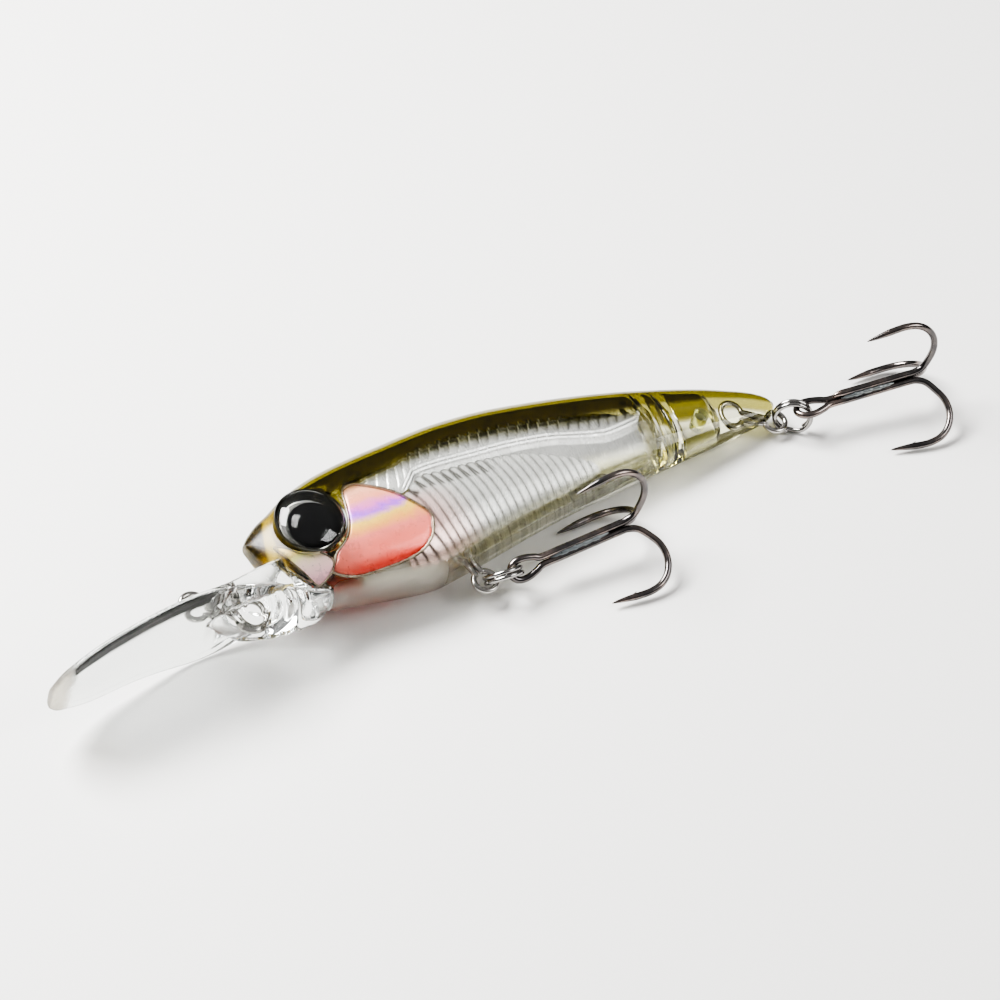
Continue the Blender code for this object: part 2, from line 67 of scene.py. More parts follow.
# ---------------------------------------------------------------- body shape, mm: u nose to tail, v to the back, w to the left
POWER, WALL = 2.35, 0.9
BACK = [(0, .05), (.7, .8), (2, 1.75), (3.2, 2.35), (5.4, 3.65), (8.1, 4.8), (11, 5.6), (14.4, 6.25), (17.6, 6.75), (21.2, 7.3),
        (24.4, 7.65), (29.5, 7.8), (34.5, 7.5), (39.5, 7.0), (44.4, 6.3), (49.2, 5.35), (54.2, 4.15), (57.5, 3.1), (59.9, 2.2), (61.4, 1.4), (62, .7)]
BELLY = [(0, -.8), (.7, -3.5), (2, -6.4), (3.2, -7.9), (5.4, -8.95), (8.1, -9.3), (11, -9.55), (14.4, -9.85), (17.6, -9.9), (21.2, -9.2),
         (24.4, -8.4), (29.5, -7.05), (34.5, -5.9), (39.5, -4.95), (44.4, -4.1), (49.2, -3.35), (54.2, -2.55), (57.5, -2.0), (59.9, -1.55), (61.4, -1.1), (62, -.4)]
WIDTH = [(0, .7), (.7, 1.35), (2, 2.25), (3.2, 2.9), (5.4, 3.75), (8.1, 4.3), (11, 4.6), (14.4, 4.8), (17.6, 4.9), (21.2, 4.9),
         (24.4, 4.8), (29.5, 4.5), (34.5, 4.1), (39.5, 3.65), (44.4, 3.2), (49.2, 2.75), (54.2, 2.2), (57.5, 1.75), (59.9, 1.4), (61.4, 1.1), (62, .7)]
EYE, EYE_R = (6.3, -1.1), 3.7
CHIN = [(.9, -3.2), (4.2, -7.6), (5.7, -8.1), (5.7, -13), (-4, -13), (-4, -2.6)]


def smooth_table(table, x):
    """Catmull-Rom through a table, for an array of x."""
    t = np.array(table, float)
    x = np.clip(np.asarray(x, float), t[0, 0], t[-1, 0])
    i = np.clip(np.searchsorted(t[:, 0], x, side="right") - 1, 0, len(t) - 2)
    m = np.empty(len(t))
    m[1:-1] = (t[2:, 1] - t[:-2, 1]) / (t[2:, 0] - t[:-2, 0])
    m[0] = (t[1, 1] - t[0, 1]) / (t[1, 0] - t[0, 0])
    m[-1] = (t[-1, 1] - t[-2, 1]) / (t[-1, 0] - t[-2, 0])
    h = t[i + 1, 0] - t[i, 0]
    s = (x - t[i, 0]) / h
    return ((2 * s**3 - 3 * s**2 + 1) * t[i, 1] + (s**3 - 2 * s**2 + s) * h * m[i]
            + (3 * s**2 - 2 * s**3) * t[i + 1, 1] + (s**3 - s**2) * h * m[i + 1])


def section(u, inset=0.0):
    top, low, w = smooth_table(BACK, u), smooth_table(BELLY, u), smooth_table(WIDTH, u)
    return (top + low) / 2, np.maximum((top - low) / 2 - inset, .02), np.maximum(w - inset, .02)


def surface_w(u, v, inset):
    c, d, w = section(u, inset)
    t = np.clip(np.abs((v - c) / d), 0, .9995)
    return w * (1 - t**POWER) ** (1 / POWER)


def spline(points, closed=False, step=.12):
    """Dense even points along a Catmull-Rom through the given ones."""
    p = np.array(points, float)
    n = len(p)
    out = []
    for i in range(n if closed else n - 1):
        a, b, c, d = (p[(i + k) % n] if closed else p[min(max(i + k, 0), n - 1)] for k in (-1, 0, 1, 2))
        m = max(4, int(np.linalg.norm(c - b) / step) + 1)
        s = np.linspace(0, 1, m, endpoint=False)[:, None]
        out.append(.5 * (2 * b + (c - a) * s + (2 * a - 5 * b + 4 * c - d) * s**2 + (3 * b - a - 3 * c + d) * s**3))
    out = np.concatenate(out + ([] if closed else [p[-1:]]))
    q = np.concatenate([out, out[:1]]) if closed else out
    length = np.concatenate([[0], np.cumsum(np.linalg.norm(np.diff(q, axis=0), axis=1))])
    k = max(8, int(length[-1] / step))
    at = np.linspace(0, length[-1], k, endpoint=not closed)
    return np.stack([np.interp(at, length, q[:, j]) for j in range(q.shape[1])], 1)


def smoothstep(a, b, x):
    t = np.clip((np.asarray(x, float) - a) / (b - a), 0, 1)
    return t * t * (3 - 2 * t)


# ---------------------------------------------------------------- mesh helpers
def place(name, verts, faces, mat, body="lure_body", replaces=(), slot=None, matrix=None, sharp=None, attributes=None):
    me = bpy.data.meshes.new(name)
    me.from_pydata((np.asarray(verts, float) * MM).tolist(), [], [tuple(int(i) for i in f) for f in faces])
    me.validate()
    for key, value in (attributes or {}).items():
        if np.ndim(value) == 2:
            a = me.attributes.new(key, "FLOAT_COLOR", "POINT")
            a.data.foreach_set("color", np.c_[value, np.ones(len(value))].astype(np.float32).ravel())
        else:
            a = me.attributes.new(key, "FLOAT", "POINT")
            a.data.foreach_set("value", np.asarray(value, np.float32))
    o = bpy.data.objects.new(name, me)
    C.objects.link(o)
    me.materials.append(mat)
    tidy(o, sharp)
    return dress(o, body, replaces, matrix)


def tidy(o, sharp=None):
    bm = bmesh.new()
    bm.from_mesh(o.data)
    bmesh.ops.recalc_face_normals(bm, faces=bm.faces)
    bm.to_mesh(o.data)
    bm.free()
    o.data.shade_smooth()
    if sharp:
        o.data.set_sharp_from_angle(angle=math.radians(sharp))


def dress(o, body, replaces=(), matrix=None):
    me = o.data
    rest = np.zeros(len(me.vertices) * 3, np.float32)
    me.vertices.foreach_get("co", rest)
    me.attributes.new("rest", "FLOAT_VECTOR", "POINT").data.foreach_set("vector", rest)
    me.transform(LURE if matrix is None else matrix)
    me.update()
    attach(o, body)
    if replaces:
        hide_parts(*replaces)
    return o


def grid_faces(rows, cols, cyclic=False, start=0):
    """Quads of a rows by cols grid. cyclic joins the last column to the first."""
    f = []
    for i in range(rows - 1):
        for j in range(cols if cyclic else cols - 1):
            k = (j + 1) % cols
            f.append((start + i * cols + j, start + i * cols + k, start + (i + 1) * cols + k, start + (i + 1) * cols + j))
    return f


def loft(rings):
    """Closed solid through rings of points, as (verts, faces)."""
    r = np.asarray(rings, float)
    n, m = r.shape[:2]
    verts = r.reshape(-1, 3)
    faces = grid_faces(n, m, True)
    verts = np.vstack([verts, r[0].mean(0), r[-1].mean(0)])
    a, b = n * m, n * m + 1
    faces += [(a, (j + 1) % m, j) for j in range(m)]
    faces += [(b, (n - 1) * m + j, (n - 1) * m + (j + 1) % m) for j in range(m)]
    return verts, faces


def join(*parts):
    verts, faces = [], []
    for v, f in parts:
        s = sum(len(x) for x in verts)
        verts.append(np.asarray(v, float))
        faces += [tuple(i + s for i in g) for g in f]
    return np.vstack(verts), faces


def tube(points, radius, sides=18, closed=False, flatten=None):
    """A round wire swept along points, with rounded ends. flatten is (axis, amount by point)."""
    p = np.asarray(points, float)
    n = len(p)
    r = np.full(n, radius, float) if np.isscalar(radius) else np.asarray(radius, float)
    if closed:
        tan = np.roll(p, -1, 0) - np.roll(p, 1, 0)
    else:
        tan = np.gradient(p, axis=0)
    tan /= np.linalg.norm(tan, axis=1)[:, None]
    nrm = np.zeros_like(p)
    k = np.eye(3)[np.argmin(np.abs(tan[0]))]
    nrm[0] = np.cross(tan[0], k) / np.linalg.norm(np.cross(tan[0], k))
    for i in range(1, n):
        v = nrm[i - 1] - tan[i] * (nrm[i - 1] @ tan[i])
        nrm[i] = v / np.linalg.norm(v)
    if closed:
        v = nrm[-1] - tan[0] * (nrm[-1] @ tan[0])
        v /= np.linalg.norm(v)
        bi = np.cross(tan[0], nrm[0])
        twist = math.atan2(v @ bi, v @ nrm[0])
        for i in range(n):
            a = -twist * i / n
            b = np.cross(tan[i], nrm[i])
            nrm[i] = nrm[i] * math.cos(a) + b * math.sin(a)
    bin_ = np.cross(tan, nrm)
    ang = np.linspace(0, 2 * math.pi, sides, endpoint=False)
    off = nrm[:, None, :] * np.cos(ang)[None, :, None] + bin_[:, None, :] * np.sin(ang)[None, :, None]
    off = off * r[:, None, None]
    if flatten is not None:
        ax = np.asarray(flatten[0], float)
        along = off @ ax
        off = off - along[..., None] * ax * np.asarray(flatten[1])[:, None, None]
    rings = p[:, None, :] + off
    if closed:
        verts = rings.reshape(-1, 3)
        faces = grid_faces(n, sides, True) + [((n - 1) * sides + j, (n - 1) * sides + (j + 1) % sides, (j + 1) % sides, j) for j in range(sides)]
        return verts, faces
    ends = []
    for at, sign in ((0, -1), (n - 1, 1)):
        caps = []
        for a in (.45, .85):
            caps.append(p[at] + sign * tan[at] * r[at] * math.sin(a) * .8 + off[at] * math.cos(a))
        ends.append(caps)
    rings = np.concatenate([ends[0][::-1], rings, ends[1]])
    return loft(rings)


def remeshed(name, parts, voxel, smooth, cutters=()):
    """One skin round overlapping solids: voxel remesh, then smoothing, both applied."""
    v, f = join(*parts)
    me = bpy.data.meshes.new(name)
    me.from_pydata((v * MM).tolist(), [], f)
    o = bpy.data.objects.new(name, me)
    C.objects.link(o)
    tidy(o)
    bpy.context.view_layer.objects.active = o
    m = o.modifiers.new("skin", "REMESH")
    m.mode = "VOXEL"
    m.voxel_size = voxel * MM
    m.use_smooth_shade = True
    s = o.modifiers.new("soften", "SMOOTH")
    s.factor, s.iterations = .6, smooth
    bpy.context.view_layer.update()
    dg = bpy.context.evaluated_depsgraph_get()
    new = bpy.data.meshes.new_from_object(o.evaluated_get(dg))
    o.modifiers.clear()
    o.data = new
    new.name = name
    new.shade_smooth()
    return o


def applied(o):
    bpy.context.view_layer.update()
    dg = bpy.context.evaluated_depsgraph_get()
    new = bpy.data.meshes.new_from_object(o.evaluated_get(dg))
    o.modifiers.clear()
    o.data = new
    return o


# ---------------------------------------------------------------- materials
class Nodes:
    """A Principled material with short helpers for its procedural detail."""

    def __init__(self, name, base=(.8, .8, .8), rough=.3, metal=0.0, **more):
        self.m = bpy.data.materials.new(name)
        self.m.use_nodes = True
        self.t = self.m.node_tree
        self.b = self.t.nodes["Principled BSDF"]
        self.set("Base Color", (*base, 1))
        self.set("Roughness", rough)
        self.set("Metallic", metal)
        for k, v in more.items():
            self.set(k.replace("_", " "), v)
        self.place = self.t.nodes.new("ShaderNodeAttribute")
        self.place.attribute_name = "rest"

    def set(self, key, value):
        self.b.inputs[key].default_value = value

    def link(self, a, b):
        self.t.links.new(a, b)

    def noise(self, scale, detail=4, rough=.5, stretch=None, distortion=0.0, kind="fac"):
        n = self.t.nodes.new("ShaderNodeTexNoise")
        n.inputs["Scale"].default_value = scale
        n.inputs["Detail"].default_value = detail
        n.inputs["Roughness"].default_value = rough
        n.inputs["Distortion"].default_value = distortion
        src = self.place.outputs["Vector"]
        if stretch:
            mp = self.t.nodes.new("ShaderNodeMapping")
            mp.inputs["Scale"].default_value = stretch
            self.link(src, mp.inputs["Vector"])
            src = mp.outputs["Vector"]
        self.link(src, n.inputs["Vector"])
        return n.outputs["Color" if kind == "color" else 0]

    def ramp(self, src, stops, mode="LINEAR"):
        r = self.t.nodes.new("ShaderNodeValToRGB")
        r.color_ramp.interpolation = mode
        e = r.color_ramp.elements
        while len(e) < len(stops):
            e.new(.5)
        for i, (p, c) in enumerate(stops):
            e[i].position = p
            e[i].color = (*c, 1) if hasattr(c, "__len__") else (c, c, c, 1)
        self.link(src, r.inputs[0])
        return r.outputs[0]

    def mixc(self, fac, a, b, mode="MIX"):
        x = self.t.nodes.new("ShaderNodeMix")
        x.data_type, x.blend_type = "RGBA", mode
        for key, val in ((0, fac), (6, a), (7, b)):
            if hasattr(val, "is_linked") or isinstance(val, bpy.types.NodeSocket):
                self.link(val, x.inputs[key])
            elif key == 0:
                x.inputs[0].default_value = val
            else:
                x.inputs[key].default_value = (*val, 1)
        return x.outputs[2]

    def math(self, op, a, b=0.0, clamp=False):
        x = self.t.nodes.new("ShaderNodeMath")
        x.operation, x.use_clamp = op, clamp
        for i, val in enumerate((a, b)):
            if isinstance(val, bpy.types.NodeSocket):
                self.link(val, x.inputs[i])
            else:
                x.inputs[i].default_value = val
        return x.outputs[0]

    def span(self, src, a, b, lo, hi, smooth=True):
        x = self.t.nodes.new("ShaderNodeMapRange")
        x.interpolation_type = "SMOOTHSTEP" if smooth else "LINEAR"
        for k, v in zip(("From Min", "From Max", "To Min", "To Max"), (a, b, lo, hi)):
            x.inputs[k].default_value = v
        self.link(src, x.inputs["Value"])
        return x.outputs[0]

    def attr(self, name, color=False):
        a = self.t.nodes.new("ShaderNodeAttribute")
        a.attribute_name = name
        return a.outputs["Color" if color else "Fac"]

    def axis(self, i):
        s = self.t.nodes.new("ShaderNodeSeparateXYZ")
        self.link(self.place.outputs["Vector"], s.inputs[0])
        return s.outputs[i]

    def bump(self, height, strength, distance):
        b = self.t.nodes.new("ShaderNodeBump")
        b.inputs["Strength"].default_value = strength
        b.inputs["Distance"].default_value = distance
        self.link(height, b.inputs["Height"])
        self.link(b.outputs[0], self.b.inputs["Normal"])

    def to(self, key, src):
        self.link(src, self.b.inputs[key])


def clear_body():
    """Tinted clear plastic. The tint comes from the moulded colours, broken up by faint cloudy flow marks and hairline scuffs."""
    n = Nodes("tinted_clear_plastic", (.9, .9, .8), .03, 0, IOR=1.5, Transmission_Weight=1.0)
    flow = n.noise(380, 3, .5, (1, 3, 3), .6)
    tint = n.attr("tint", True)
    n.to("Base Color", n.mixc(n.span(flow, .35, .75, 0, .10), tint, (.72, .68, .4), "MULTIPLY"))
    milk = n.attr("milk")
    n.to("Alpha", n.attr("body"))
    scuff = n.ramp(n.noise(900, 6, .75, (1, 14, 14), .3), [(.56, 0), (.78, .05)])
    n.to("Roughness", n.math("ADD", n.math("MULTIPLY", milk, .42), n.math("ADD", scuff, .008), True))
    n.bump(n.noise(150, 2, .4), .02, .0002)
    return n.m


def clear_lip():
    n = Nodes("clear_lip_plastic", (.95, .965, .955), .02, 0, IOR=1.49, Transmission_Weight=1.0)
    u = n.axis(0)
    grit = n.noise(1500, 8, .7)
    edge = n.math("ADD", u, n.math("MULTIPLY", n.math("SUBTRACT", n.noise(420, 5, .6), .5), .0028))
    worn = n.span(edge, -.0236, -.0222, 1, 0)
    n.to("Base Color", n.mixc(worn, (.925, .945, .93), n.ramp(grit, [(.3, (.60, .56, .47)), (.7, (.86, .82, .74))])))
    scratch = n.ramp(n.noise(700, 6, .8, (.6, 9, 9), .4), [(.55, 0), (.8, .14)])
    n.to("Roughness", n.math("ADD", n.math("MULTIPLY", worn, .62), n.math("ADD", scratch, .01), True))
    n.bump(n.mixc(worn, n.noise(190, 3, .4), grit), .12, .0002)
    return n.m


def clear_lens():
    n = Nodes("lens_resin", (.97, .975, .965), .01, 0, IOR=1.46, Transmission_Weight=1.0)
    n.to("Roughness", n.ramp(n.noise(900, 5, .7, None, .4), [(.5, .008), (.8, .09)]))
    return n.m


def steel(name, base, rough, scale=2400, lo=.7):
    n = Nodes(name, base, rough, 1.0)
    streak = n.noise(scale, 5, .65, (.15, 1, 1))
    n.to("Base Color", n.ramp(streak, [(.25, tuple(lo * c for c in base)), (.7, base)]))
    n.to("Roughness", n.ramp(n.noise(scale * .4, 6, .6), [(.3, rough * .7), (.75, rough * 1.6)]))
    n.bump(streak, .18, .00004)
    return n.m


def hook_metal():
    """Dark nickel plate: near black with a warm brown bloom where the plate is thin, fine drawing marks along the wire."""
    n = Nodes("dark_nickel", (.09, .085, .085), .24, 1.0)
    cloud = n.noise(330, 4, .6)
    fine = n.noise(2600, 4, .6)
    c = n.ramp(cloud, [(.3, (.10, .097, .10)), (.52, (.17, .155, .15)), (.72, (.36, .29, .26))])
    n.to("Base Color", n.mixc(n.span(fine, .45, .85, 0, .25), c, (.05, .048, .05)))
    n.to("Roughness", n.ramp(n.noise(800, 5, .6), [(.3, .14), (.75, .28)]))
    n.bump(fine, .06, .00003)
    return n.m


def braze_metal():
    n = Nodes("braze", (.2, .22, .23), .34, .9)
    n.to("Base Color", n.ramp(n.noise(500, 4, .5, (.3, 1, 1)), [(.3, (.13, .15, .165)), (.7, (.27, .29, .29))]))
    n.to("Roughness", n.ramp(n.noise(1500, 4, .6), [(.3, .26), (.75, .42)]))
    n.bump(n.noise(900, 5, .6, (.3, 1, 1)), .2, .00005)
    return n.m


def silver_foil():
    """Bright vacuum-silvered insert. The tint carries the plate's colour with painted shade and painted highlights over
    its relief; grooves are mixed to near black as painted shade through their attribute.
    """
    n = Nodes("silver_insert", (.9, .9, .88), .26, .45, Coat_Weight=.2, Coat_Roughness=.06)
    cloud = n.noise(240, 5, .6, (1, 2.2, 1))
    silver = n.ramp(cloud, [(.25, (.86, .865, .84)), (.55, (.94, .945, .92)), (.8, (.99, .99, .97))])
    # painted shade: grooves are mixed to near black, and the tint multiplies in the plates' painted shade and
    # highlights
    n.to("Base Color", n.mixc(n.attr("groove_shade"), n.mixc(1.0, silver, n.attr("tint", True), "MULTIPLY"), (.045, .04, .03)))
    n.to("Roughness", n.ramp(n.noise(1100, 5, .7, (1, .2, 1)), [(.3, .18), (.75, .4)]))
    n.bump(n.noise(2200, 3, .6, (1, .25, 1)), .16, .00005)
    return n.m


def rainbow_foil(name, stops, wash):
    """Holographic film: the colour runs in soft bands along the plate, with a fine grain."""
    n = Nodes(name, (.95, .7, .68), .3, .2, Coat_Weight=.5, Coat_Roughness=.05)
    v, u = n.axis(1), n.axis(0)
    wob = n.math("MULTIPLY", n.math("SUBTRACT", n.noise(230, 4, .55, None, 1.0), .5), .0026)
    slope = n.math("ADD", n.math("ADD", v, n.math("MULTIPLY", n.math("ADD", u, -.013), -.05)), wob)
    band = n.ramp(n.span(slope, -.0082, .0018, 0, 1, False), stops)
    n.to("Base Color", n.mixc(n.span(n.noise(170, 3, .5), .5, .85, 0, .18), band, wash))
    n.to("Roughness", n.ramp(n.noise(900, 5, .65), [(.3, .2), (.75, .42)]))
    n.bump(n.noise(2600, 3, .6), .12, .00005)
    return n.m


def rim_metal():
    n = Nodes("insert_rim", (.34, .29, .22), .3, .7, Coat_Weight=.5)
    n.to("Base Color", n.ramp(n.noise(600, 4, .6), [(.3, (.17, .14, .09)), (.6, (.36, .31, .24)), (.8, (.62, .57, .46))]))
    n.to("Roughness", n.ramp(n.noise(1200, 4, .6), [(.3, .2), (.7, .4)]))
    return n.m


def iris_foil():
    n = Nodes("iris_foil", (.9, .9, .87), .22, .75, Coat_Weight=.5)
    r = n.attr("radius")
    w = n.t.nodes.new("ShaderNodeTexWave")
    w.wave_type, w.bands_direction = "BANDS", "X"
    comb = n.t.nodes.new("ShaderNodeCombineXYZ")
    n.link(r, comb.inputs[0])
    n.link(comb.outputs[0], w.inputs["Vector"])
    w.inputs["Scale"].default_value = 1.1
    n.to("Base Color", n.mixc(n.span(w.outputs["Fac"], .55, .95, 0, .35), n.ramp(n.noise(500, 4, .6), [(.3, (.78, .78, .74)), (.7, (.97, .965, .93))]), (.30, .28, .22)))
    n.bump(w.outputs["Fac"], .25, .00005)
    return n.m


def socket_dark():
    n = Nodes("socket_wall", (.03, .03, .015), .16, .0, Coat_Weight=.4, Coat_Roughness=.04)
    n.to("Base Color", n.ramp(n.noise(420, 4, .6), [(.3, (.010, .009, .004)), (.75, (.035, .032, .014))]))
    n.to("Roughness", n.ramp(n.noise(900, 4, .6), [(.3, .1), (.7, .28)]))
    return n.m


def pupil_black():
    n = Nodes("pupil_black", (.002, .002, .003), .05, 0, IOR=1.33)
    n.to("Base Color", n.ramp(n.noise(700, 3, .5), [(.4, (.0012, .0012, .0015)), (.8, (.004, .004, .005))]))
    n.to("Roughness", n.ramp(n.noise(1500, 4, .6), [(.4, .03), (.85, .10)]))
    return n.m


def cast_weight():
    n = Nodes("cast_weight", (.6, .58, .52), .5, .35)
    n.to("Base Color", n.ramp(n.noise(600, 6, .65), [(.3, (.50, .48, .42)), (.7, (.74, .72, .65))]))
    n.to("Roughness", n.ramp(n.noise(1500, 5, .6), [(.3, .38), (.7, .65)]))
    n.bump(n.noise(1300, 6, .7), .5, .00012)
    return n.m


M_BODY, M_LIP, M_LENS = clear_body(), clear_lip(), clear_lens()
M_WIRE = steel("drawn_steel", (.56, .54, .51), .16)
M_RING = steel("ring_steel", (.46, .445, .43), .13)
M_HOOK, M_BRAZE = hook_metal(), braze_metal()
M_SILVER, M_RIM = silver_foil(), rim_metal()
M_GILL = rainbow_foil("gill_film", [(0, (.74, .03, .02)), (.10, (.84, .08, .05)), (.22, (.93, .20, .15)), (.38, (.96, .27, .22)), (.48, (.96, .48, .13)), (.545, (.95, .66, .14)),
                                    (.63, (.52, .15, .92)), (.69, (.84, .24, .62)), (.78, (.97, .38, .26)), (1, (.99, .60, .38))], (.99, .50, .38))
M_JAW = rainbow_foil("jaw_film", [(0, (.96, .48, .60)), (.2, (.97, .60, .66)), (.36, (.98, .76, .68)), (.46, (.92, .90, .42)), (.56, (.96, .90, .58)), (.7, (.97, .90, .78)), (1, (.98, .95, .9))], (.98, .84, .78))
M_IRIS, M_SOCKET, M_PUPIL, M_WEIGHT = iris_foil(), socket_dark(), pupil_black(), cast_weight()

# ---------------------------------------------------------------- body skin: outer surface with sockets, hollow chambers inside
def body_ring(u, inset, m):
    a = np.linspace(0, 2 * math.pi, m, endpoint=False) + math.pi / m
    c, d, w = section(u, inset)
    sv = np.sign(np.sin(a)) * np.abs(np.sin(a)) ** (2 / POWER)
    sw = np.sign(np.cos(a)) * np.abs(np.cos(a)) ** (2 / POWER)
    return np.stack([np.full(m, float(u)), c + d * sv, w * sw], 1)


def outer_stations():
    tip = 62 * .5 * (1 - np.cos(np.linspace(0, math.pi, 14)))
    return np.unique(np.concatenate([np.array([0, .08, .2, .36, .55, .8, 1.1, 1.45, 1.8]), np.arange(2.2, 60.5, .42), np.array([60.8, 61.1, 61.35, 61.55, 61.72, 61.85, 61.95, 62])]))


def chamber(us, domes):
    """Inner surface of a hollow, its ends domed, its floor raised over the chin and along the keel, and drawn in round the eye cups."""
    us = np.asarray(us, float)
    rings = []
    for k, u in enumerate(us):
        r = body_ring(u, WALL, 72)
        rings.append(r)
    r = np.array(rings)
    u, v, w = r[..., 0], r[..., 1], r[..., 2]
    # the chin line
    line = np.interp(u, [.9, 4.2, 5.7, 8], [-3.2, -7.6, -8.1, -12]) + .8
    v = np.maximum(v, line)
    # solid keel band, its upper face gently crowned
    low = smooth_table(BELLY, u) + WALL + .55 * smoothstep(17, 22, u) * (1 - smoothstep(45, 48, u))
    v = np.maximum(v, low)
    # eye cups
    dist = np.hypot(u - EYE[0], v - EYE[1])
    cap = 2.1 + (9 - 2.1) * smoothstep(4.0, 4.25, dist)
    w = np.sign(w) * np.minimum(np.abs(w), cap)
    r = np.stack([u, v, w], -1)
    for end, amount in zip((0, -1), domes):
        rows = range(0, 3) if end == 0 else range(-1, -4, -1)
        for s, i in enumerate(rows):
            c = r[i].mean(0)
            shrink = (.55, .84, .97)[s]
            r[i, :, 1:] = c[1:] + (r[i, :, 1:] - c[1:]) * shrink
            r[i, :, 0] += amount * (1 - shrink) * (-1 if end == 0 else 1)
    v_, f_ = loft(r)
    # faces look into the hollow, away from the plastic
    volume = sum(float(np.dot(v_[q[0]], np.cross(v_[q[k]], v_[q[k + 1]]))) for q in f_ for k in range(1, len(q) - 1))
    return v_, [tuple(reversed(x)) for x in f_] if volume > 0 else f_


outer = loft([body_ring(u, .10 * float(smoothstep(59.5, 61.4, u)), 96) - np.array([.12 * float(smoothstep(60.5, 62, u)), 0, 0]) for u in outer_stations()])
me = bpy.data.meshes.new("body_skin")
me.from_pydata((outer[0] * MM).tolist(), [], outer[1])
skin = bpy.data.objects.new("body_skin", me)
C.objects.link(skin)
tidy(skin)
tools = []


def tool(name, verts, faces):
    me = bpy.data.meshes.new(name)
    me.from_pydata((np.asarray(verts) * MM).tolist(), [], faces)
    o = bpy.data.objects.new(name, me)
    C.objects.link(o)
    tidy(o)
    tools.append(o)
    return o


def turned(profile, side, steps=72, centre=EYE):
    """Rings of (radius, height along w) about an axis, closed at both ends."""
    a = np.linspace(0, 2 * math.pi, steps, endpoint=False)
    rings = [np.stack([centre[0] + max(r, .004) * np.cos(a), centre[1] + max(r, .004) * np.sin(a), np.full(steps, side * h)], 1) for r, h in profile]
    return loft(rings)


for s in (1, -1):
    m = skin.modifiers.new("socket", "BOOLEAN")
    m.operation, m.solver = "DIFFERENCE", "EXACT"
    m.object = tool(f"socket_{s}", *turned([(0, 2.5), (3.45, 2.5), (3.62, 2.6), (3.68, 2.9), (3.7, 3.6), (3.95, 5.5), (4.6, 7.5), (0, 7.5)], s))
m = skin.modifiers.new("chin", "BOOLEAN")
m.operation, m.solver = "DIFFERENCE", "EXACT"
chin_line = [(u, v) for u, v in CHIN]
m.object = tool("chin_tool", *loft([[(u, v, w) for u, v in chin_line] for w in (-9, 9)]))
applied(skin)
for o in tools:
    bpy.data.objects.remove(o, do_unlink=True)

inner = [chamber(np.concatenate([[2.9, 3.1, 3.4], np.arange(3.9, 46.0, .5), [46.2, 46.5, 46.7]]), (.6, 1.3)),
         chamber([47.1, 47.25, 47.45, 47.8, 48.2, 48.5, 48.75, 48.95], (-.9, 1.1)),
         chamber(np.concatenate([[49.4, 49.55, 49.8], np.arange(50.2, 54.0, .4), [54.1, 54.3, 54.4]]), (-.9, .8))]
bm = bmesh.new()
bm.from_mesh(skin.data)
for v_, f_ in inner:
    vs = [bm.verts.new(Vector(p) * MM) for p in v_]
    for f in f_:
        face = bm.faces.new([vs[i] for i in f])
        face.smooth = True
bm.to_mesh(skin.data)
bm.free()
co = np.zeros(len(skin.data.vertices) * 3)
skin.data.vertices.foreach_get("co", co)
co = co.reshape(-1, 3) / MM
u, v, w = co.T
top_line = np.interp(u, [0, 3, 5, 7, 9, 10, 11, 12.1, 12.9, 13.5, 17.5, 19.6, 22.5, 27.65, 32.7, 37.5, 42.8, 48, 54, 58, 62],
                     [-2.7, -2.5, -1.2, .2, .8, 1.2, 1.5, 1.8, 1.85, 1.9, 2.65, 3.0, 3.35, 3.4, 3.15, 2.75, 2.4, 2.3, 1.8, 1.0, -.2])
back = smoothstep(-.05, .35, v - top_line)
keel = 1 - smoothstep(.9, 2.5, v - smooth_table(BELLY, u))
keel *= smoothstep(17, 21, u)
belly_front = (1 - smoothstep(.5, 2.2, v - smooth_table(BELLY, u))) * (1 - smoothstep(17, 21, u)) * smoothstep(4, 7, u)
snout = (1 - smoothstep(3.6, 5.8, u)) * smoothstep(-4.6, -3.6, v)
clear = np.array([.985, .985, .965])
tint = np.tile(clear, (len(u), 1))


def toward(weight, colour):
    global tint
    tint = tint * (1 - weight[:, None]) + np.array(colour) * weight[:, None]


toward(smoothstep(40, 52, u) * .5, (.95, .95, .70))
toward(keel * .85, (.92, .91, .60))
toward(belly_front * .7, (.97, .955, .87))
toward(back, (.17, .145, .02))
toward(back * smoothstep(47, 52, u) * .6, (.16, .14, .015))
toward(snout * .92, (.50, .36, .05))
skin.data.attributes.new("tint", "FLOAT_COLOR", "POINT").data.foreach_set("color", np.c_[tint, np.ones(len(u))].astype(np.float32).ravel())
skin.data.attributes.new("milk", "FLOAT", "POINT").data.foreach_set("value", np.maximum(belly_front * .9, snout * .6).astype(np.float32))
window = smoothstep(7.5, 10.5, u) * (1 - smoothstep(44, 48, u)) * (1 - back) * (1 - .45 * keel) * (1 - .95 * belly_front)
skin.data.attributes.new("body", "FLOAT", "POINT").data.foreach_set("value", (1 - .86 * window).astype(np.float32))
skin.data.materials.clear()
skin.data.materials.append(M_BODY)
skin.data.shade_smooth()
skin.data.set_sharp_from_angle(angle=math.radians(42))
dress(skin, "lure_body", ("left_shell", "right_shell"))

# moulded posts that join the halves
posts = [turned([(0, -h), (r * .8, -h), (r, -h + .12), (r, h - .12), (r * .8, h), (0, h)], 1, 28, c) for c, r, h in (((53.0, .6), .8, 1.2), ((13.2, 3.9), .42, 1.9), ((14.1, 3.6), .3, 1.9), ((30.2, 6.1), .35, 1.5), ((38.6, 5.3), .4, 1.5), ((39.9, 5.0), .3, 1.5), ((45.2, 4.1), .4, 1.3))]
place("body_posts", *join(*posts), M_BODY, slot="shell", sharp=40,
      attributes={"tint": np.tile((.9, .93, .55), (sum(len(p[0]) for p in posts), 1)), "milk": np.zeros(sum(len(p[0]) for p in posts)), "body": np.ones(sum(len(p[0]) for p in posts))})

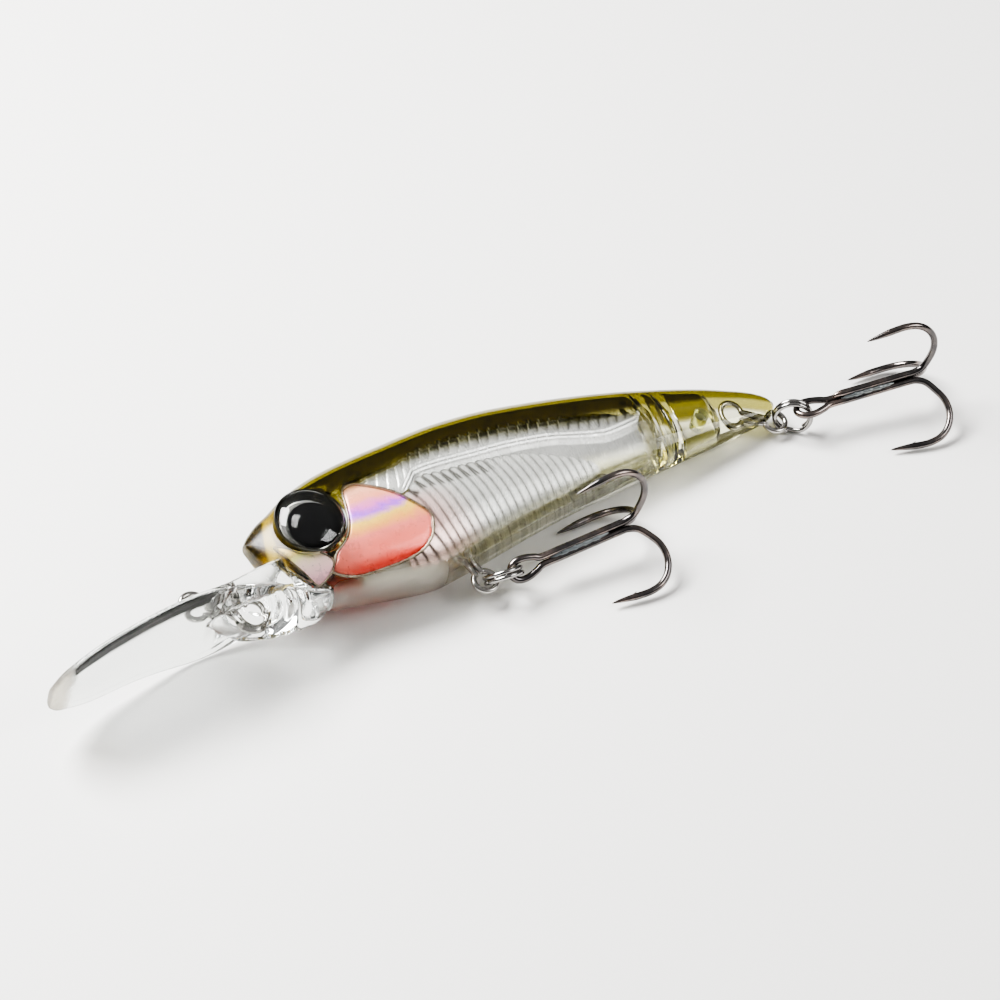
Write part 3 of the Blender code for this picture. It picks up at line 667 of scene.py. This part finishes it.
# ---------------------------------------------------------------- inserts
def sheet_solid(u, v, side, inset, relief=None, thick=.12, extra=None):
    """A thin plate over arrays u, v (rows by cols) that lies on the surface `inset` inside the skin. relief raises it outwards."""
    rows, cols = u.shape
    w = surface_w(u, v, inset)
    relief = np.zeros_like(u) if relief is None else relief
    front = np.stack([u, v, side * (w + relief)], -1).reshape(-1, 3)
    behind = np.stack([u, v, side * (w - thick)], -1).reshape(-1, 3)
    n = rows * cols
    f = grid_faces(rows, cols)
    faces = f + [tuple(reversed([i + n for i in q])) for q in f]
    edge = ([(0, j) for j in range(cols)] + [(i, cols - 1) for i in range(1, rows)] + [(rows - 1, j) for j in range(cols - 2, -1, -1)] + [(i, 0) for i in range(rows - 2, 0, -1)])
    idx = [i * cols + j for i, j in edge]
    for a, b in zip(idx, idx[1:] + idx[:1]):
        faces.append((b, a, a + n, b + n))
    return np.vstack([front, behind]), faces


def patch(outline, centre, side, inset, rings=26, dome=0.0, thick=.12):
    """A plate with a curved outline, as rings shrinking to its centre, so that its edge is exact."""
    b = spline(outline, True, .16)
    c = np.array(centre)
    s = np.linspace(1, .02, rings)
    p = c + (b - c)[None] * s[:, None, None]
    w = surface_w(p[..., 0], p[..., 1], inset) + dome * (1 - s[:, None] ** 2.2) - .10 * np.clip((s[:, None] - .93) / .07, 0, 1) ** 2
    front = np.stack([p[..., 0], p[..., 1], side * w], -1)
    rim = front[:1] - np.array([0, 0, side * thick])
    back = np.stack([p[..., 0], p[..., 1], side * (surface_w(p[..., 0], p[..., 1], inset) - thick)], -1)[1:]
    rings_all = np.concatenate([front[::-1], rim, back])
    return loft(rings_all), b


def outline_curve(points, x):
    return smooth_table(points, x)


GILL = [(11.0, 1.25), (12.1, 1.7), (13.4, 1.1), (15.55, -.45), (17.0, -2.1), (18.2, -3.8), (18.15, -5.0), (17.4, -6.35), (16.0, -7.25), (13.75, -7.65), (10.5, -7.7), (8.5, -7.5),
        (6.75, -6.75), (7.2, -5.85), (7.6, -5.2), (9.1, -4.1), (10.05, -2.5), (10.55, -.6)]
JAW = [(2.35, -2.35), (3.4, -2.95), (4.9, -3.9), (6.1, -4.95), (6.75, -5.85), (6.45, -6.6), (5.7, -7.15), (5.1, -7.35), (4.55, -7.1), (3.5, -5.1)]
TOP = [(12.6, 1.75), (13.5, 2.15), (17.5, 2.95), (19.6, 3.35), (22.5, 3.7), (25.1, 3.8), (27.65, 3.75), (30.1, 3.65), (32.7, 3.5), (35.2, 3.3), (37.5, 3.05), (40.1, 2.8), (42.8, 2.75), (45.4, 2.6)]
SPINE = [(16.8, -1.0), (18.0, .2), (19, 1.15), (21.7, 1.42), (25.5, 1.52), (29.7, 1.68), (33.2, 1.62), (35.6, 1.42), (37, 1.15), (40.9, .62), (42.5, .75), (45.4, 1.35)]
RIB_TOP = [(15.2, -1.6), (17.2, -.9), (18.8, .45), (21.5, .5), (24.3, .58), (27.6, .58), (31.3, .3), (33.5, -.38), (35.8, -1.1), (37.6, -1.85), (39.2, -2.75)]
RIB_LOW = [(15.2, -8.35), (17.8, -8.4), (20.8, -7.75), (23.2, -7.1), (26.4, -6.2), (29.8, -5.35), (33.3, -4.6), (34.6, -4.3), (37.4, -3.6), (39.2, -3.05)]
PITCH, SLANT = 1.02, .345


def upper_plate(side):
    """Silver plate along the flank's top: feathered upper edge, soft cross bands, and a raised double spine line."""
    cols = np.arange(12.7, 45.3, .085)
    t = np.linspace(0, 1, 46)[:, None]
    top = smooth_table(TOP, cols)
    lower = np.interp(cols, [12.7, 14.5, 16.6, 18.2, 19.2, 45.4], [1.45, .55, -.85, -.3, .35, .2]) - .95 * smoothstep(19, 24, cols) - .75 * smoothstep(36, 44, cols)
    lower = np.minimum(lower, np.interp(cols, [12.7, 32.5, 35.5, 38.5, 41, 45.4], [9, 9, -1.6, -3.1, -3.35, -2.6]))
    lower = np.maximum(lower, smooth_table(BELLY, cols) + 1.25)
    # feathers: each leans towards the tail, with a notch behind it
    phase = ((cols + .15) / 1.16) % 1
    tooth = (.80 * (1 - phase) ** 1.15 + .02) * smoothstep(16.5, 19.5, cols) * (1 - .72 * smoothstep(33.5, 39, cols))
    top = top + tooth - .18
    v = lower + (top - lower) * t
    u = np.broadcast_to(cols, v.shape) + .38 * smoothstep(.62, 1, t) * (top - lower) / 2
    spine = smooth_table(SPINE, u)
    relief = np.zeros_like(v)
    on = smoothstep(16.7, 17.3, u)
    line = np.zeros_like(v)
    for offset, height, width in ((.0, .14, .13), (.50, .12, .12)):
        hump = np.exp(-((v - spine - offset) / width) ** 2) * on
        relief += height * hump
        line = np.maximum(line, hump)
    relief -= .05 * np.exp(-((v - spine - .25) / .08) ** 2) * on
    ph = ((u - .36 * (v - spine)) / 1.16) % 1
    above = smoothstep(.62, .9, v - spine)
    relief += above * .10 * (1 - ph) * (1 - .6 * smoothstep(36, 41, u))
    # painted shade: the notch behind each feather and the fine lines beside the raised spine are marked to be darkened
    # to near black
    groove_shade = above * np.exp(-((np.minimum(ph, 1 - ph)) / .12) ** 2) * .85 * smoothstep(15.5, 18, u) * (.25 + .75 * smoothstep(.3, 1, t))
    groove_shade = np.maximum(groove_shade, .85 * np.exp(-((v - spine - .25) / .085) ** 2) * on)
    groove_shade = np.maximum(groove_shade, .55 * np.exp(-((v - spine + .24) / .10) ** 2) * on)
    groove_shade = np.maximum(groove_shade, .45 * np.exp(-((v - spine - .76) / .09) ** 2) * on * (1 - above * .3))
    groove_shade = groove_shade * (1 - line * .95)
    verts, faces = sheet_solid(u, v, side, .98 + .28 * smoothstep(-.2, -.9, v - spine) * smoothstep(18, 20, u), relief)
    # painted shade and highlight: darker below the spine, lighter above it and on the raised face of each feather
    shade = .62 + .16 * smoothstep(-1.2, 1.6, v - spine) + .14 * above * (1 - ph)
    fade = smoothstep(34, 46, u)[..., None]
    tint = shade[..., None] * np.array([1, 1, .985]) * (1 - fade * .2)
    olive = (smoothstep(-.7, -3.0, v) * smoothstep(33, 38, u) * .8)[..., None]
    tint = tint * (1 - olive) + np.array([.50, .48, .27]) * olive
    # painted highlight: the raised spine lines are brightened past the foil's own colour
    tint = tint * (1 - line[..., None]) + 1.25 * line[..., None]
    tint = tint.reshape(-1, 3)
    g = groove_shade.reshape(-1)
    return verts, faces, {"tint": np.vstack([tint, tint]), "groove_shade": np.concatenate([g, g * 0])}


def rib_plate(side):
    """Silver plate below the spine: slanted overlapping ribs with scalloped ends and crossed hatching near the front."""
    x = np.arange(14.7, 38.9, .07)
    t = np.linspace(0, 1, 84)[:, None]
    top, low = smooth_table(RIB_TOP, x), smooth_table(RIB_LOW, x)
    low = np.maximum(low, smooth_table(BELLY, x) + 1.12)
    phase = ((x) / PITCH) % 1
    scallop = .30 * np.sqrt(np.clip(1 - (2 * phase - 1) ** 2, 0, 1)) - .2
    top = top + scallop * smoothstep(16.5, 18.6, x)
    v = low + (top - low) * t
    u = np.broadcast_to(x, v.shape) + 0 * v
    # stations lean: the foot of each rib lies further back than its head
    lean = SLANT * (smooth_table(RIB_TOP, x) - v)
    q = ((u - lean * .92 + .12 * np.sin(v * .8)) / PITCH)
    ph = q % 1
    saw = .12 * (1 - ph) ** .8
    depth = smoothstep(0, .06, t) * (1 - .0 * t)
    relief = saw * depth
    # painted shade: the sharp drop at the back of each rib is marked to be darkened to near black
    groove_shade = np.exp(-(np.minimum(ph, 1 - ph) / .14) ** 2) * (.72 + .2 * smoothstep(-2, -7, v))
    # crossed hatching under the scallops, recessed, its lines darkened as painted shade
    under = v - smooth_table(RIB_TOP, x)
    hatch_zone = smoothstep(16.2, 17.2, u) * (1 - smoothstep(26, 28.5, u)) * smoothstep(-1.75, -1.35, under)
    q2 = ((u + .62 * under) / PITCH) % 1
    hatch = np.exp(-(np.minimum(q2, 1 - q2) / .15) ** 2) * hatch_zone
    relief -= .06 * hatch
    groove_shade = np.maximum(groove_shade * (1 + .45 * hatch_zone), 1.0 * hatch)
    # painted shade: a dark line along the scalloped top edge
    groove_shade = np.maximum(groove_shade, .8 * smoothstep(.965, .995, t) * smoothstep(17, 19, u))
    # short white ticks where the ribs end below, raised, with the painted groove shade lifted off them and their tint
    # brightened past white as a painted highlight
    tick = np.exp(-((ph - .1) / .08) ** 2) * (1 - smoothstep(.02, .16, t)) * smoothstep(20, 22, u)
    groove_shade = groove_shade * (1 - .9 * tick)
    relief += .06 * tick
    verts, faces = sheet_solid(u, v, side, 1.0, relief, .14)
    pink = (1 - smoothstep(17.5, 24.5, u + .5 * (v + 4))) * smoothstep(-.4, -2.6, v - .2) * .9
    low_shade = smoothstep(-4.5, -8.2, v)
    # painted highlight: each rib is lightest on its raised front and darker where it drops back
    rib_crest_highlight = .84 + .22 * (1 - ph) ** 1.5
    tint = rib_crest_highlight[..., None] * np.array([1.02, 1.02, 1.0])
    tint = tint * (1 - pink[..., None]) + np.array([1.0, .66, .62]) * pink[..., None]
    tint = tint * (1 - .30 * low_shade[..., None]) + np.array([.56, .53, .46]) * .30 * low_shade[..., None]
    tint = (tint * (1 + .25 * tick[..., None])).reshape(-1, 3)
    g = groove_shade.reshape(-1)
    return verts, faces, {"tint": np.vstack([tint, tint]), "groove_shade": np.concatenate([g, g * 0])}


for side, s in (("left", 1), ("right", -1)):
    v_, f_, at = upper_plate(s)
    place(side + "_upper_insert", v_, f_, M_SILVER, replaces=(side + "_spine_plate",), slot="silver_plate", attributes=at, sharp=60)
    v_, f_, at = rib_plate(s)
    place(side + "_rib_insert", v_, f_, M_SILVER, replaces=(side + "_rib_plate",), slot="silver_plate", attributes=at, sharp=60)
    for name, shape, centre, inset, dome, mat, node, slot in (("gill", GILL, (13.1, -3.9), .86, .16, M_GILL, "gill_plate", "pink_foil"),
                                                              ("jaw", JAW, (5.2, -5.55), .62, .10, M_JAW, "jaw_plate", "pale_foil")):
        (v_, f_), edge = patch(shape, centre, s, inset, dome=dome)
        place(f"{side}_{name}_film", v_, f_, mat, replaces=(f"{side}_{node}",), slot=slot, sharp=50)
        out = np.array(centre) + (edge - np.array(centre)) * (1.028 if name == "gill" else 1.05)
        line = np.stack([out[:, 0], out[:, 1], s * (surface_w(out[:, 0], out[:, 1], inset) + .02)], 1)
        place(f"{side}_{name}_rim", *tube(line, .15 if name == "gill" else .1, 12, True), M_RIM, slot="silver_plate")

# ---------------------------------------------------------------- eyes
for side, s in (("left", 1), ("right", -1)):
    v_, f_ = turned([(0, 2.56), (2.9, 2.56), (2.98, 2.62), (2.98, 2.80), (2.9, 2.84), (2.82, 2.78), (2.7, 2.74), (1.5, 2.72), (0, 2.72)], s, 96)
    place(side + "_eye_silver", v_, f_, M_IRIS, replaces=(side + "_eye_iris",), slot="iris", sharp=40,
          attributes={"radius": np.hypot(v_[:, 0] - EYE[0], v_[:, 1] - EYE[1])})
    # stepped cup wall: three fine rings down to the foil
    a = np.linspace(0, 2 * math.pi, 97)[:-1]
    prof = [(3.66, 2.55), (3.66, 3.35), (3.76, 3.76), (3.68, 3.92), (3.56, 3.84), (3.48, 3.50), (3.40, 3.46), (3.34, 3.22), (3.26, 3.20), (3.20, 3.00), (3.10, 2.98), (3.03, 2.84), (3.0, 2.6)]
    n = len(prof)
    ring = np.array([[(EYE[0] + r * math.cos(t), EYE[1] + r * math.sin(t), s * h) for r, h in prof] for t in a]).reshape(-1, 3)
    faces = [(i * n + j, ((i + 1) % 96) * n + j, ((i + 1) % 96) * n + (j + 1) % n, i * n + (j + 1) % n) for i in range(96) for j in range(n)]
    place(side + "_eye_cup", ring, faces, M_SOCKET, slot="shell", sharp=35)
    c = (EYE[0] + .30, EYE[1] - .26)
    dome = [(0, 2.72)] + [(2.52, 2.74), (2.6, 2.86), (2.62, 2.98)] + [(2.62 * math.cos(t), 2.98 + 1.2 * math.sin(t)) for t in np.linspace(.12, math.pi / 2 - .04, 18)] + [(0, 4.185)]
    v_, f_ = turned(dome, s, 96, c)
    place(side + "_eye_black", v_, f_, M_PUPIL, replaces=(side + "_eye_pupil",), slot="pupil", sharp=50)
    arc = lambda r0, h0, rise, k=14: [(r0 * math.cos(t), h0 + rise * math.sin(t)) for t in np.linspace(0, math.pi / 2 - .02, k)]
    up = arc(3.6, 3.62, 1.28)
    down = [(r, h) for r, h in reversed(arc(3.42, 3.5, 1.12))]
    v_, f_ = turned(down[:1] and ([(0, down[0][1])] + down + up + [(0, up[-1][1])]), s, 96)
    place(side + "_eye_dome", v_, f_, M_LENS, replaces=(side + "_eye_lens",), slot="lens", sharp=50)

# ---------------------------------------------------------------- keel weight
us = np.linspace(10.0, 18.4, 34)
rings = []
for k, u_ in enumerate(us):
    c, d, w_ = section(u_, WALL + .75)
    end = min(1, .55 + 1.6 * min(k, len(us) - 1 - k) / 10)
    x = np.linspace(-1, 1, 41)
    top = -6.25
    low = float(c - d) + .05
    mid = (top + low) / 2
    v_ = top - (top - low) * np.cos(x * math.pi / 2)
    ww = np.sign(x) * surface_w(np.full_like(x, u_), v_, WALL + .75)
    ring = np.stack([np.full_like(x, u_), mid + (v_ - mid) * end, ww * end * .97], 1)
    rings.append(ring)
place("keel_casting", *loft(rings), M_WEIGHT, replaces=("keel_weight",), slot="ballast", sharp=50)

# ---------------------------------------------------------------- through-wire: anchor rings and hangers
LINE_TIE = ((-2.45, -7.9), (-7.55, -4.85))
BELLY_TIE = ((21.0, -6.4), (22.3, -11.0))
TAIL_TIE = ((56.6, .2), (61.3, -1.75))
LOOP_R, WIRE_R = 1.2, .31


def figure8(ring, loop, r=LOOP_R, gap=.40, n=40):
    a, b = np.array(ring, float), np.array(loop, float)
    d = (b - a) / np.linalg.norm(b - a)
    q = np.array([-d[1], d[0]])
    open_ = math.asin(gap / r)
    reach = r * math.cos(open_)
    out = []
    for i in range(n + 1):
        t = math.pi - open_ - (2 * math.pi - 2 * open_) * i / n
        out.append(b + r * (math.cos(t) * d + math.sin(t) * q))
    neck = b - d * reach
    back = a + d * reach
    for s in (.35, .65):
        out.append(neck + (back - neck) * s - q * gap * (1 - .12 * math.sin(math.pi * s)))
    for i in range(n + 1):
        t = -open_ - (2 * math.pi - 2 * open_) * i / n
        out.append(a + r * (math.cos(t) * d + math.sin(t) * q))
    for s in (.65, .35):
        out.append(neck + (back - neck) * s + q * gap * (1 - .12 * math.sin(math.pi * s)))
    p = np.array(out)
    return np.c_[p, np.zeros(len(p))]


for name, tie in (("line_tie", LINE_TIE), ("belly_hanger", BELLY_TIE), ("tail_hanger", TAIL_TIE)):
    path = spline(figure8(*tie), True, .1)
    place(name + "_formed_wire", *tube(path, WIRE_R, 20, True), M_WIRE, replaces=(name + "_wire",), slot="wire")

# ---------------------------------------------------------------- diving lip with its chin block
BLADE = [(2.3, -6.5, 2.2), (.5, -6.65, 3.3), (-2, -6.8, 5.0), (-4.5, -6.95, 6.2), (-7.2, -7.1, 6.75), (-11, -7.4, 6.45), (-14, -7.85, 6.05), (-17, -8.5, 5.65),
         (-20, -9.25, 5.0), (-22.3, -9.85, 4.05), (-24.0, -10.35, 2.9), (-25.1, -10.7, 1.4)]
KEEL = [(-7.0, -6.9, -7.6, .5), (-5.6, -6.7, -8.9, 1.3), (-3.6, -6.5, -10.0, 1.9), (-1.0, -6.3, -10.35, 2.2), (1.6, -6.4, -10.25, 2.5), (4.0, -7.85, -9.8, 2.5), (5.45, -8.35, -9.15, 2.1)]
CHIN_FIT = [(-4, -2.75), (.8, -3.34), (4.12, -7.72), (5.6, -8.2), (5.6, -13), (-4, -13)]
blade = np.array(BLADE)


def blade_half(u):
    t = blade[::-1]
    return smooth_table(t[:, [0, 2]], u)


def blade_mid(u):
    t = blade[::-1]
    return smooth_table(t[:, [0, 1]], u)


us = np.concatenate([np.linspace(2.3, -23, 74), -25.1 + 2.1 * (1 - np.sin(np.linspace(0, math.pi / 2, 9)))[1:]])
half = blade_half(us)
half[-9:] = half[-9] * np.sqrt(np.clip(1 - ((us[-9:] - us[-9]) / (-25.35 - us[-9])) ** 2, .02, 1)) * .3 + half[-9:] * .7
rings = []
x = np.linspace(-1, 1, 37)
for u_, b in zip(us, half):
    mid = float(blade_mid(np.array([u_]))[0])
    sag = -.35 * (b / 6.7) * x * x
    b = b - .22 * float(smoothstep(-20, -15, u_) * (1 - smoothstep(-4, -1, u_)))
    bead = .13 * np.exp(-((np.abs(x) * b - (b - .5)) / .3) ** 2) * float(smoothstep(-25.0, -23.5, u_))
    t_ = .46 * (1 - .6 * np.abs(x) ** 5)
    rise = float(np.interp(u_, [-7, -5.6, -4.5, -2, .5, 2.3], [0, .18, .55, 1.45, 2.5, 3.1]))
    up = np.stack([np.full_like(x, u_), mid + sag + t_ + bead + rise * (1 - .12 * x * x), x * b], 1)
    down = np.stack([np.full_like(x, u_), mid + sag - t_ - bead * .3, x * b], 1)[::-1]
    rings.append(np.vstack([up, down[0:]]))
lip_blade = loft(rings)
# keel fin under the root, the wire's bed
keel = np.array(KEEL)
ku = np.linspace(-7.0, 5.45, 110)
rings = []
ang = np.linspace(0, 2 * math.pi, 88, endpoint=False)
for u_ in ku:
    top, low, hw = (float(smooth_table(keel[:, [0, k]], np.array([u_]))[0]) for k in (1, 2, 3))
    c, d = (top + low) / 2, (top - low) / 2
    kv = c + d * np.sign(np.sin(ang)) * np.abs(np.sin(ang)) ** .7
    # stepped seat round the anchor ring
    far = np.hypot(u_ + 2.3, kv + 8.0)
    ripple = .17 * np.cos(far * 2 * math.pi / 1.25) * smoothstep(.6, 1.4, far) * (1 - smoothstep(4.6, 6.2, far))
    rings.append(np.stack([np.full(88, u_), kv, (hw + ripple) * np.sign(np.cos(ang)) * np.abs(np.cos(ang)) ** .7], 1))
lip_keel = loft(rings)
# chin block: fills the body's envelope under the chin line
rings = []
for u_ in np.linspace(.6, 6.0, 44):
    r = body_ring(u_, .02, 64)
    line = float(np.interp(u_, [-4, .8, 4.12, 5.6, 8], [-2.75, -3.34, -7.72, -8.2, -8.9]))
    r[:, 1] = np.minimum(r[:, 1], line)
    rings.append(r)
lip_chin = loft(rings)
lip = remeshed("lip_moulding", [lip_blade, lip_keel, lip_chin], .115, 4)
lip.data.materials.clear()
lip.data.materials.append(M_LIP)
dress(lip, "lure_body", ("diving_lip",))

# ---------------------------------------------------------------- split rings
RING_R, RING_WIRE_R, RING_PITCH = 1.93, .25, .53
BODIES = {}


def frame_of(origin, x, z, shift=0.0):
    """Matrix with its x and z along these world directions, mm meshes scaled on placing."""
    z = Vector(z).normalized()
    x = Vector(x)
    x = (x - z * x.dot(z)).normalized()
    m = Matrix((x, z.cross(x), z)).transposed().to_4x4()
    m.translation = Vector(origin) + x * shift
    return m


def pivot(name):
    return Vector(joint[name]["pos_m"])


for prefix, pull in (("belly", 0.0), ("tail", .1)):
    o = pivot(prefix + "_ring_swing")
    n = Vector(joint[prefix + "_hook_swing"]["axis"]).normalized()
    e = pivot(prefix + "_hook_swing") - o
    turn = np.arange(30, 691, 3.0)
    jog = smoothstep(330, 390, turn)
    t = np.radians(turn + 100)
    path = np.stack([RING_R + pull + RING_R * np.cos(t), RING_R * np.sin(t), RING_PITCH * (jog - .5)], 1)
    place(prefix + "_ring_coil", *tube(path, RING_WIRE_R, 16, flatten=None), M_RING, prefix + "_ring", (prefix + "_split_ring",), "wire", frame_of(o, e, n))

# ---------------------------------------------------------------- treble hooks
HOOK_WIRE_R, SHANK_OFF, EYE_AT = .37, .42, 1.6
HOOK_PATH = [(10.2, .43), (11.4, .45), (12.6, .5), (13.7, .72), (14.7, 1.25), (15.5, 2.1), (16.0, 3.2), (16.1, 4.4), (15.8, 5.5), (15.1, 6.5), (14.1, 7.15), (12.9, 7.4), (11.7, 7.35), (10.5, 7.2), (9.4, 7.05), (8.5, 6.95)]


def hook_points(direction, start_dir, out0):
    d, s0 = np.array(direction, float), np.array(start_dir, float)
    out = []
    for x_, r in HOOK_PATH:
        t = np.clip((r - .5) / 1.2, 0, 1)
        yz = s0 * out0 * (1 - t) + d * r * t if r < 1.7 else d * r
        out.append((x_, yz[0], yz[1]))
    return out


def needle(path, start, end_len=2.6):
    """Wire radius along the path: full, then a long fine point at the end."""
    length = np.concatenate([[0], np.cumsum(np.linalg.norm(np.diff(path, axis=0), axis=1))])
    left = length[-1] - length
    r = HOOK_WIRE_R * np.clip(.03 + .97 * (np.clip(left / end_len, 0, 1)) ** .62, 0, 1)
    return r


def barb(path, direction):
    """A small raised lick on the inner side of the point."""
    i = len(path) - 30
    p = path[i]
    tan = path[i + 2] - path[i - 2]
    tan /= np.linalg.norm(tan)
    inner = -np.array([0, *direction], float)
    inner -= tan * (inner @ tan)
    inner /= np.linalg.norm(inner)
    pts = np.array([p + tan * a + inner * b for a, b in ((.55, .08), (.3, .22), (.05, .34), (-.22, .47))])
    return tube(spline(pts, False, .05), np.linspace(.15, .03, len(spline(pts, False, .05))), 10)


EYE_PATH = [(4.0, .42), (3.2, .72), (2.3, 1.0), (1.5, 1.06), (.85, .85), (.48, .42), (.37, 0)]
side_a = hook_points((.866, -.5), (1, 0), SHANK_OFF)
side_b = [(x_, -y_, z_) for x_, y_, z_ in side_a]
eye_a = [(x_, y_, 0) for x_, y_ in EYE_PATH]
eye_b = [(x_, -y_, 0) for x_, y_ in EYE_PATH[-2::-1]]
double = side_a[::-1] + [(8, .42, 0), (6, .42, 0)] + eye_a + eye_b + [(6, -.42, 0), (8, -.42, 0)] + side_b
third = [(4.7, 0, .66), (5.1, 0, .76), (7.5, 0, .74)] + hook_points((0, 1), (0, 1), .74)


def heading(azimuth, rise):
    a, r = math.radians(azimuth), math.radians(rise)
    return Vector((math.cos(a) * math.cos(r), math.sin(a) * math.cos(r), math.sin(r)))


for prefix, hook_turn, shank_heading, third_deg in (("belly", 0, (0, 5), 121), ("tail", -17, (-8.8, 5), 0)):
    o, hub = pivot(prefix + "_ring_swing"), pivot(prefix + "_hook_swing")
    n = Vector(joint[prefix + "_hook_swing"]["axis"]).normalized()
    e = (hub - o).normalized()
    sh = heading(*shank_heading)
    across = Vector((0, 0, 1)).cross(sh).normalized()
    up = across * math.sin(math.radians(third_deg)) + sh.cross(across) * math.cos(math.radians(third_deg))
    zz = (up - sh * up.dot(sh)).normalized()
    m = Matrix((sh, zz.cross(sh), zz)).transposed().to_4x4()
    m.translation = hub + (Matrix.Rotation(math.radians(hook_turn), 3, n) @ e) * RING_R * MM - sh * EYE_AT * MM
    body = prefix + "_treble"
    path = spline(double, False, .09)
    r = np.minimum(needle(path, 0), needle(path[::-1], 0)[::-1])
    place(body + "_double_wire", *tube(path, r, 20), M_HOOK, body, (body + "_double",), "hook", m)
    path3 = spline(third, False, .09)
    r3 = needle(path3, 0)
    r3[:10] *= np.linspace(.35, 1, 10) ** .5
    place(body + "_third_wire", *tube(path3, r3, 20), M_HOOK, body, (body + "_third",), "hook", m)
    barbs = [barb(path, (-.866, -.5)), barb(path[::-1], (.866, -.5)), barb(path3, (0, 1))]
    place(body + "_barbs", *join(*barbs), M_HOOK, body, (), "hook", m)
    # braze: a thin flat fillet in the valley of the two shanks, and one along each side of the third
    seams = []
    for y, z, rad, lo, hi in ((0, -.10, .30, 4.9, 11.6), (.36, .38, .27, 5.3, 11.3), (-.36, .38, .27, 5.3, 11.3)):
        xs = np.linspace(lo, hi, 60)
        wob = .03 * np.sin(xs * 5.1 + y * 9) + .02 * np.sin(xs * 11.7 + z * 5)
        rr = (rad + wob) * np.sqrt(np.clip(np.minimum(xs - lo, hi - xs) / 1.2, .03, 1))
        seams.append(tube(np.stack([xs, np.full(60, y), np.full(60, z)], 1), rr, 14))
    place(body + "_braze", *join(*seams), M_BRAZE, body, (), "hook", m)

# ---------------------------------------------------------------- ground, light, camera
fm = Nodes("studio_floor", (.80, .79, .77), .62, 0)
fm.to("Base Color", fm.ramp(fm.noise(38, 6, .55), [(.3, (.775, .765, .745)), (.7, (.815, .805, .785))]))
fm.to("Roughness", fm.ramp(fm.noise(90, 5, .6), [(.3, .5), (.7, .72)]))
fm.bump(fm.noise(1400, 4, .6), .05, .0001)
me = bpy.data.meshes.new("floor")
span = 3.0
me.from_pydata([(-span, -span, 0), (span, -span, 0), (span, span, 0), (-span, span, 0)], [], [(0, 1, 2, 3)])
floor = bpy.data.objects.new("floor", me)
C.objects.link(floor)
me.materials.append(fm.m)

world = bpy.data.worlds.new("studio")
bpy.context.scene.world = world
world.use_nodes = True
wt = world.node_tree
bg = wt.nodes["Background"]
tc = wt.nodes.new("ShaderNodeTexCoord")
sx = wt.nodes.new("ShaderNodeSeparateXYZ")
wt.links.new(tc.outputs["Generated"], sx.inputs[0])
rp = wt.nodes.new("ShaderNodeValToRGB")
e = rp.color_ramp.elements
e[0].position, e[0].color = .0, (.10, .10, .10, 1)
e[1].position, e[1].color = 1, (.42, .42, .43, 1)
for p_, c_ in ((.10, (.10, .10, .10, 1)), (.40, (.22, .22, .22, 1)), (.7, (.42, .42, .42, 1))):
    k = e.new(p_)
    k.color = c_
wt.links.new(sx.outputs[2], rp.inputs[0])
wt.links.new(rp.outputs[0], bg.inputs["Color"])
bg.inputs["Strength"].default_value = .75


def lamp(name, where, size, power, colour=(1, 1, 1), aim=(0, 0, 0.004)):
    l = bpy.data.lights.new(name, "AREA")
    l.shape, l.size, l.size_y = "RECTANGLE", size[0], size[1]
    l.energy, l.color = power, colour
    o = bpy.data.objects.new(name, l)
    C.objects.link(o)
    o.location = where
    o.rotation_euler = (Vector(aim) - Vector(where)).to_track_quat("-Z", "Y").to_euler()
    return o


lamp("key", (-.13, .17, .30), (.24, .17), 3.3)
lamp("fill", (.30, -.25, .30), (.25, .25), .9)

cam = bpy.data.cameras.new("camera")
cam.lens, cam.sensor_width = 146.44, 36
cam.clip_start, cam.clip_end = .01, 10
cam_o = bpy.data.objects.new("camera", cam)
C.objects.link(cam_o)
right, up_, back_ = Vector((.88781539, -.46019978, 0)), Vector((.30793376, .59406445, .74314483)), Vector((-.34199509, -.65977541, .66913061))
cam_m = Matrix((right, up_, back_)).transposed().to_4x4()
cam_m.translation = (-.142165, -.272816, .284386)
cam_o.matrix_world = cam_m
bpy.context.scene.camera = cam_o
bpy.context.scene.view_settings.view_transform = "AgX"
bpy.context.scene.view_settings.look = "AgX - High Contrast"
bpy.context.scene.view_settings.exposure = .02
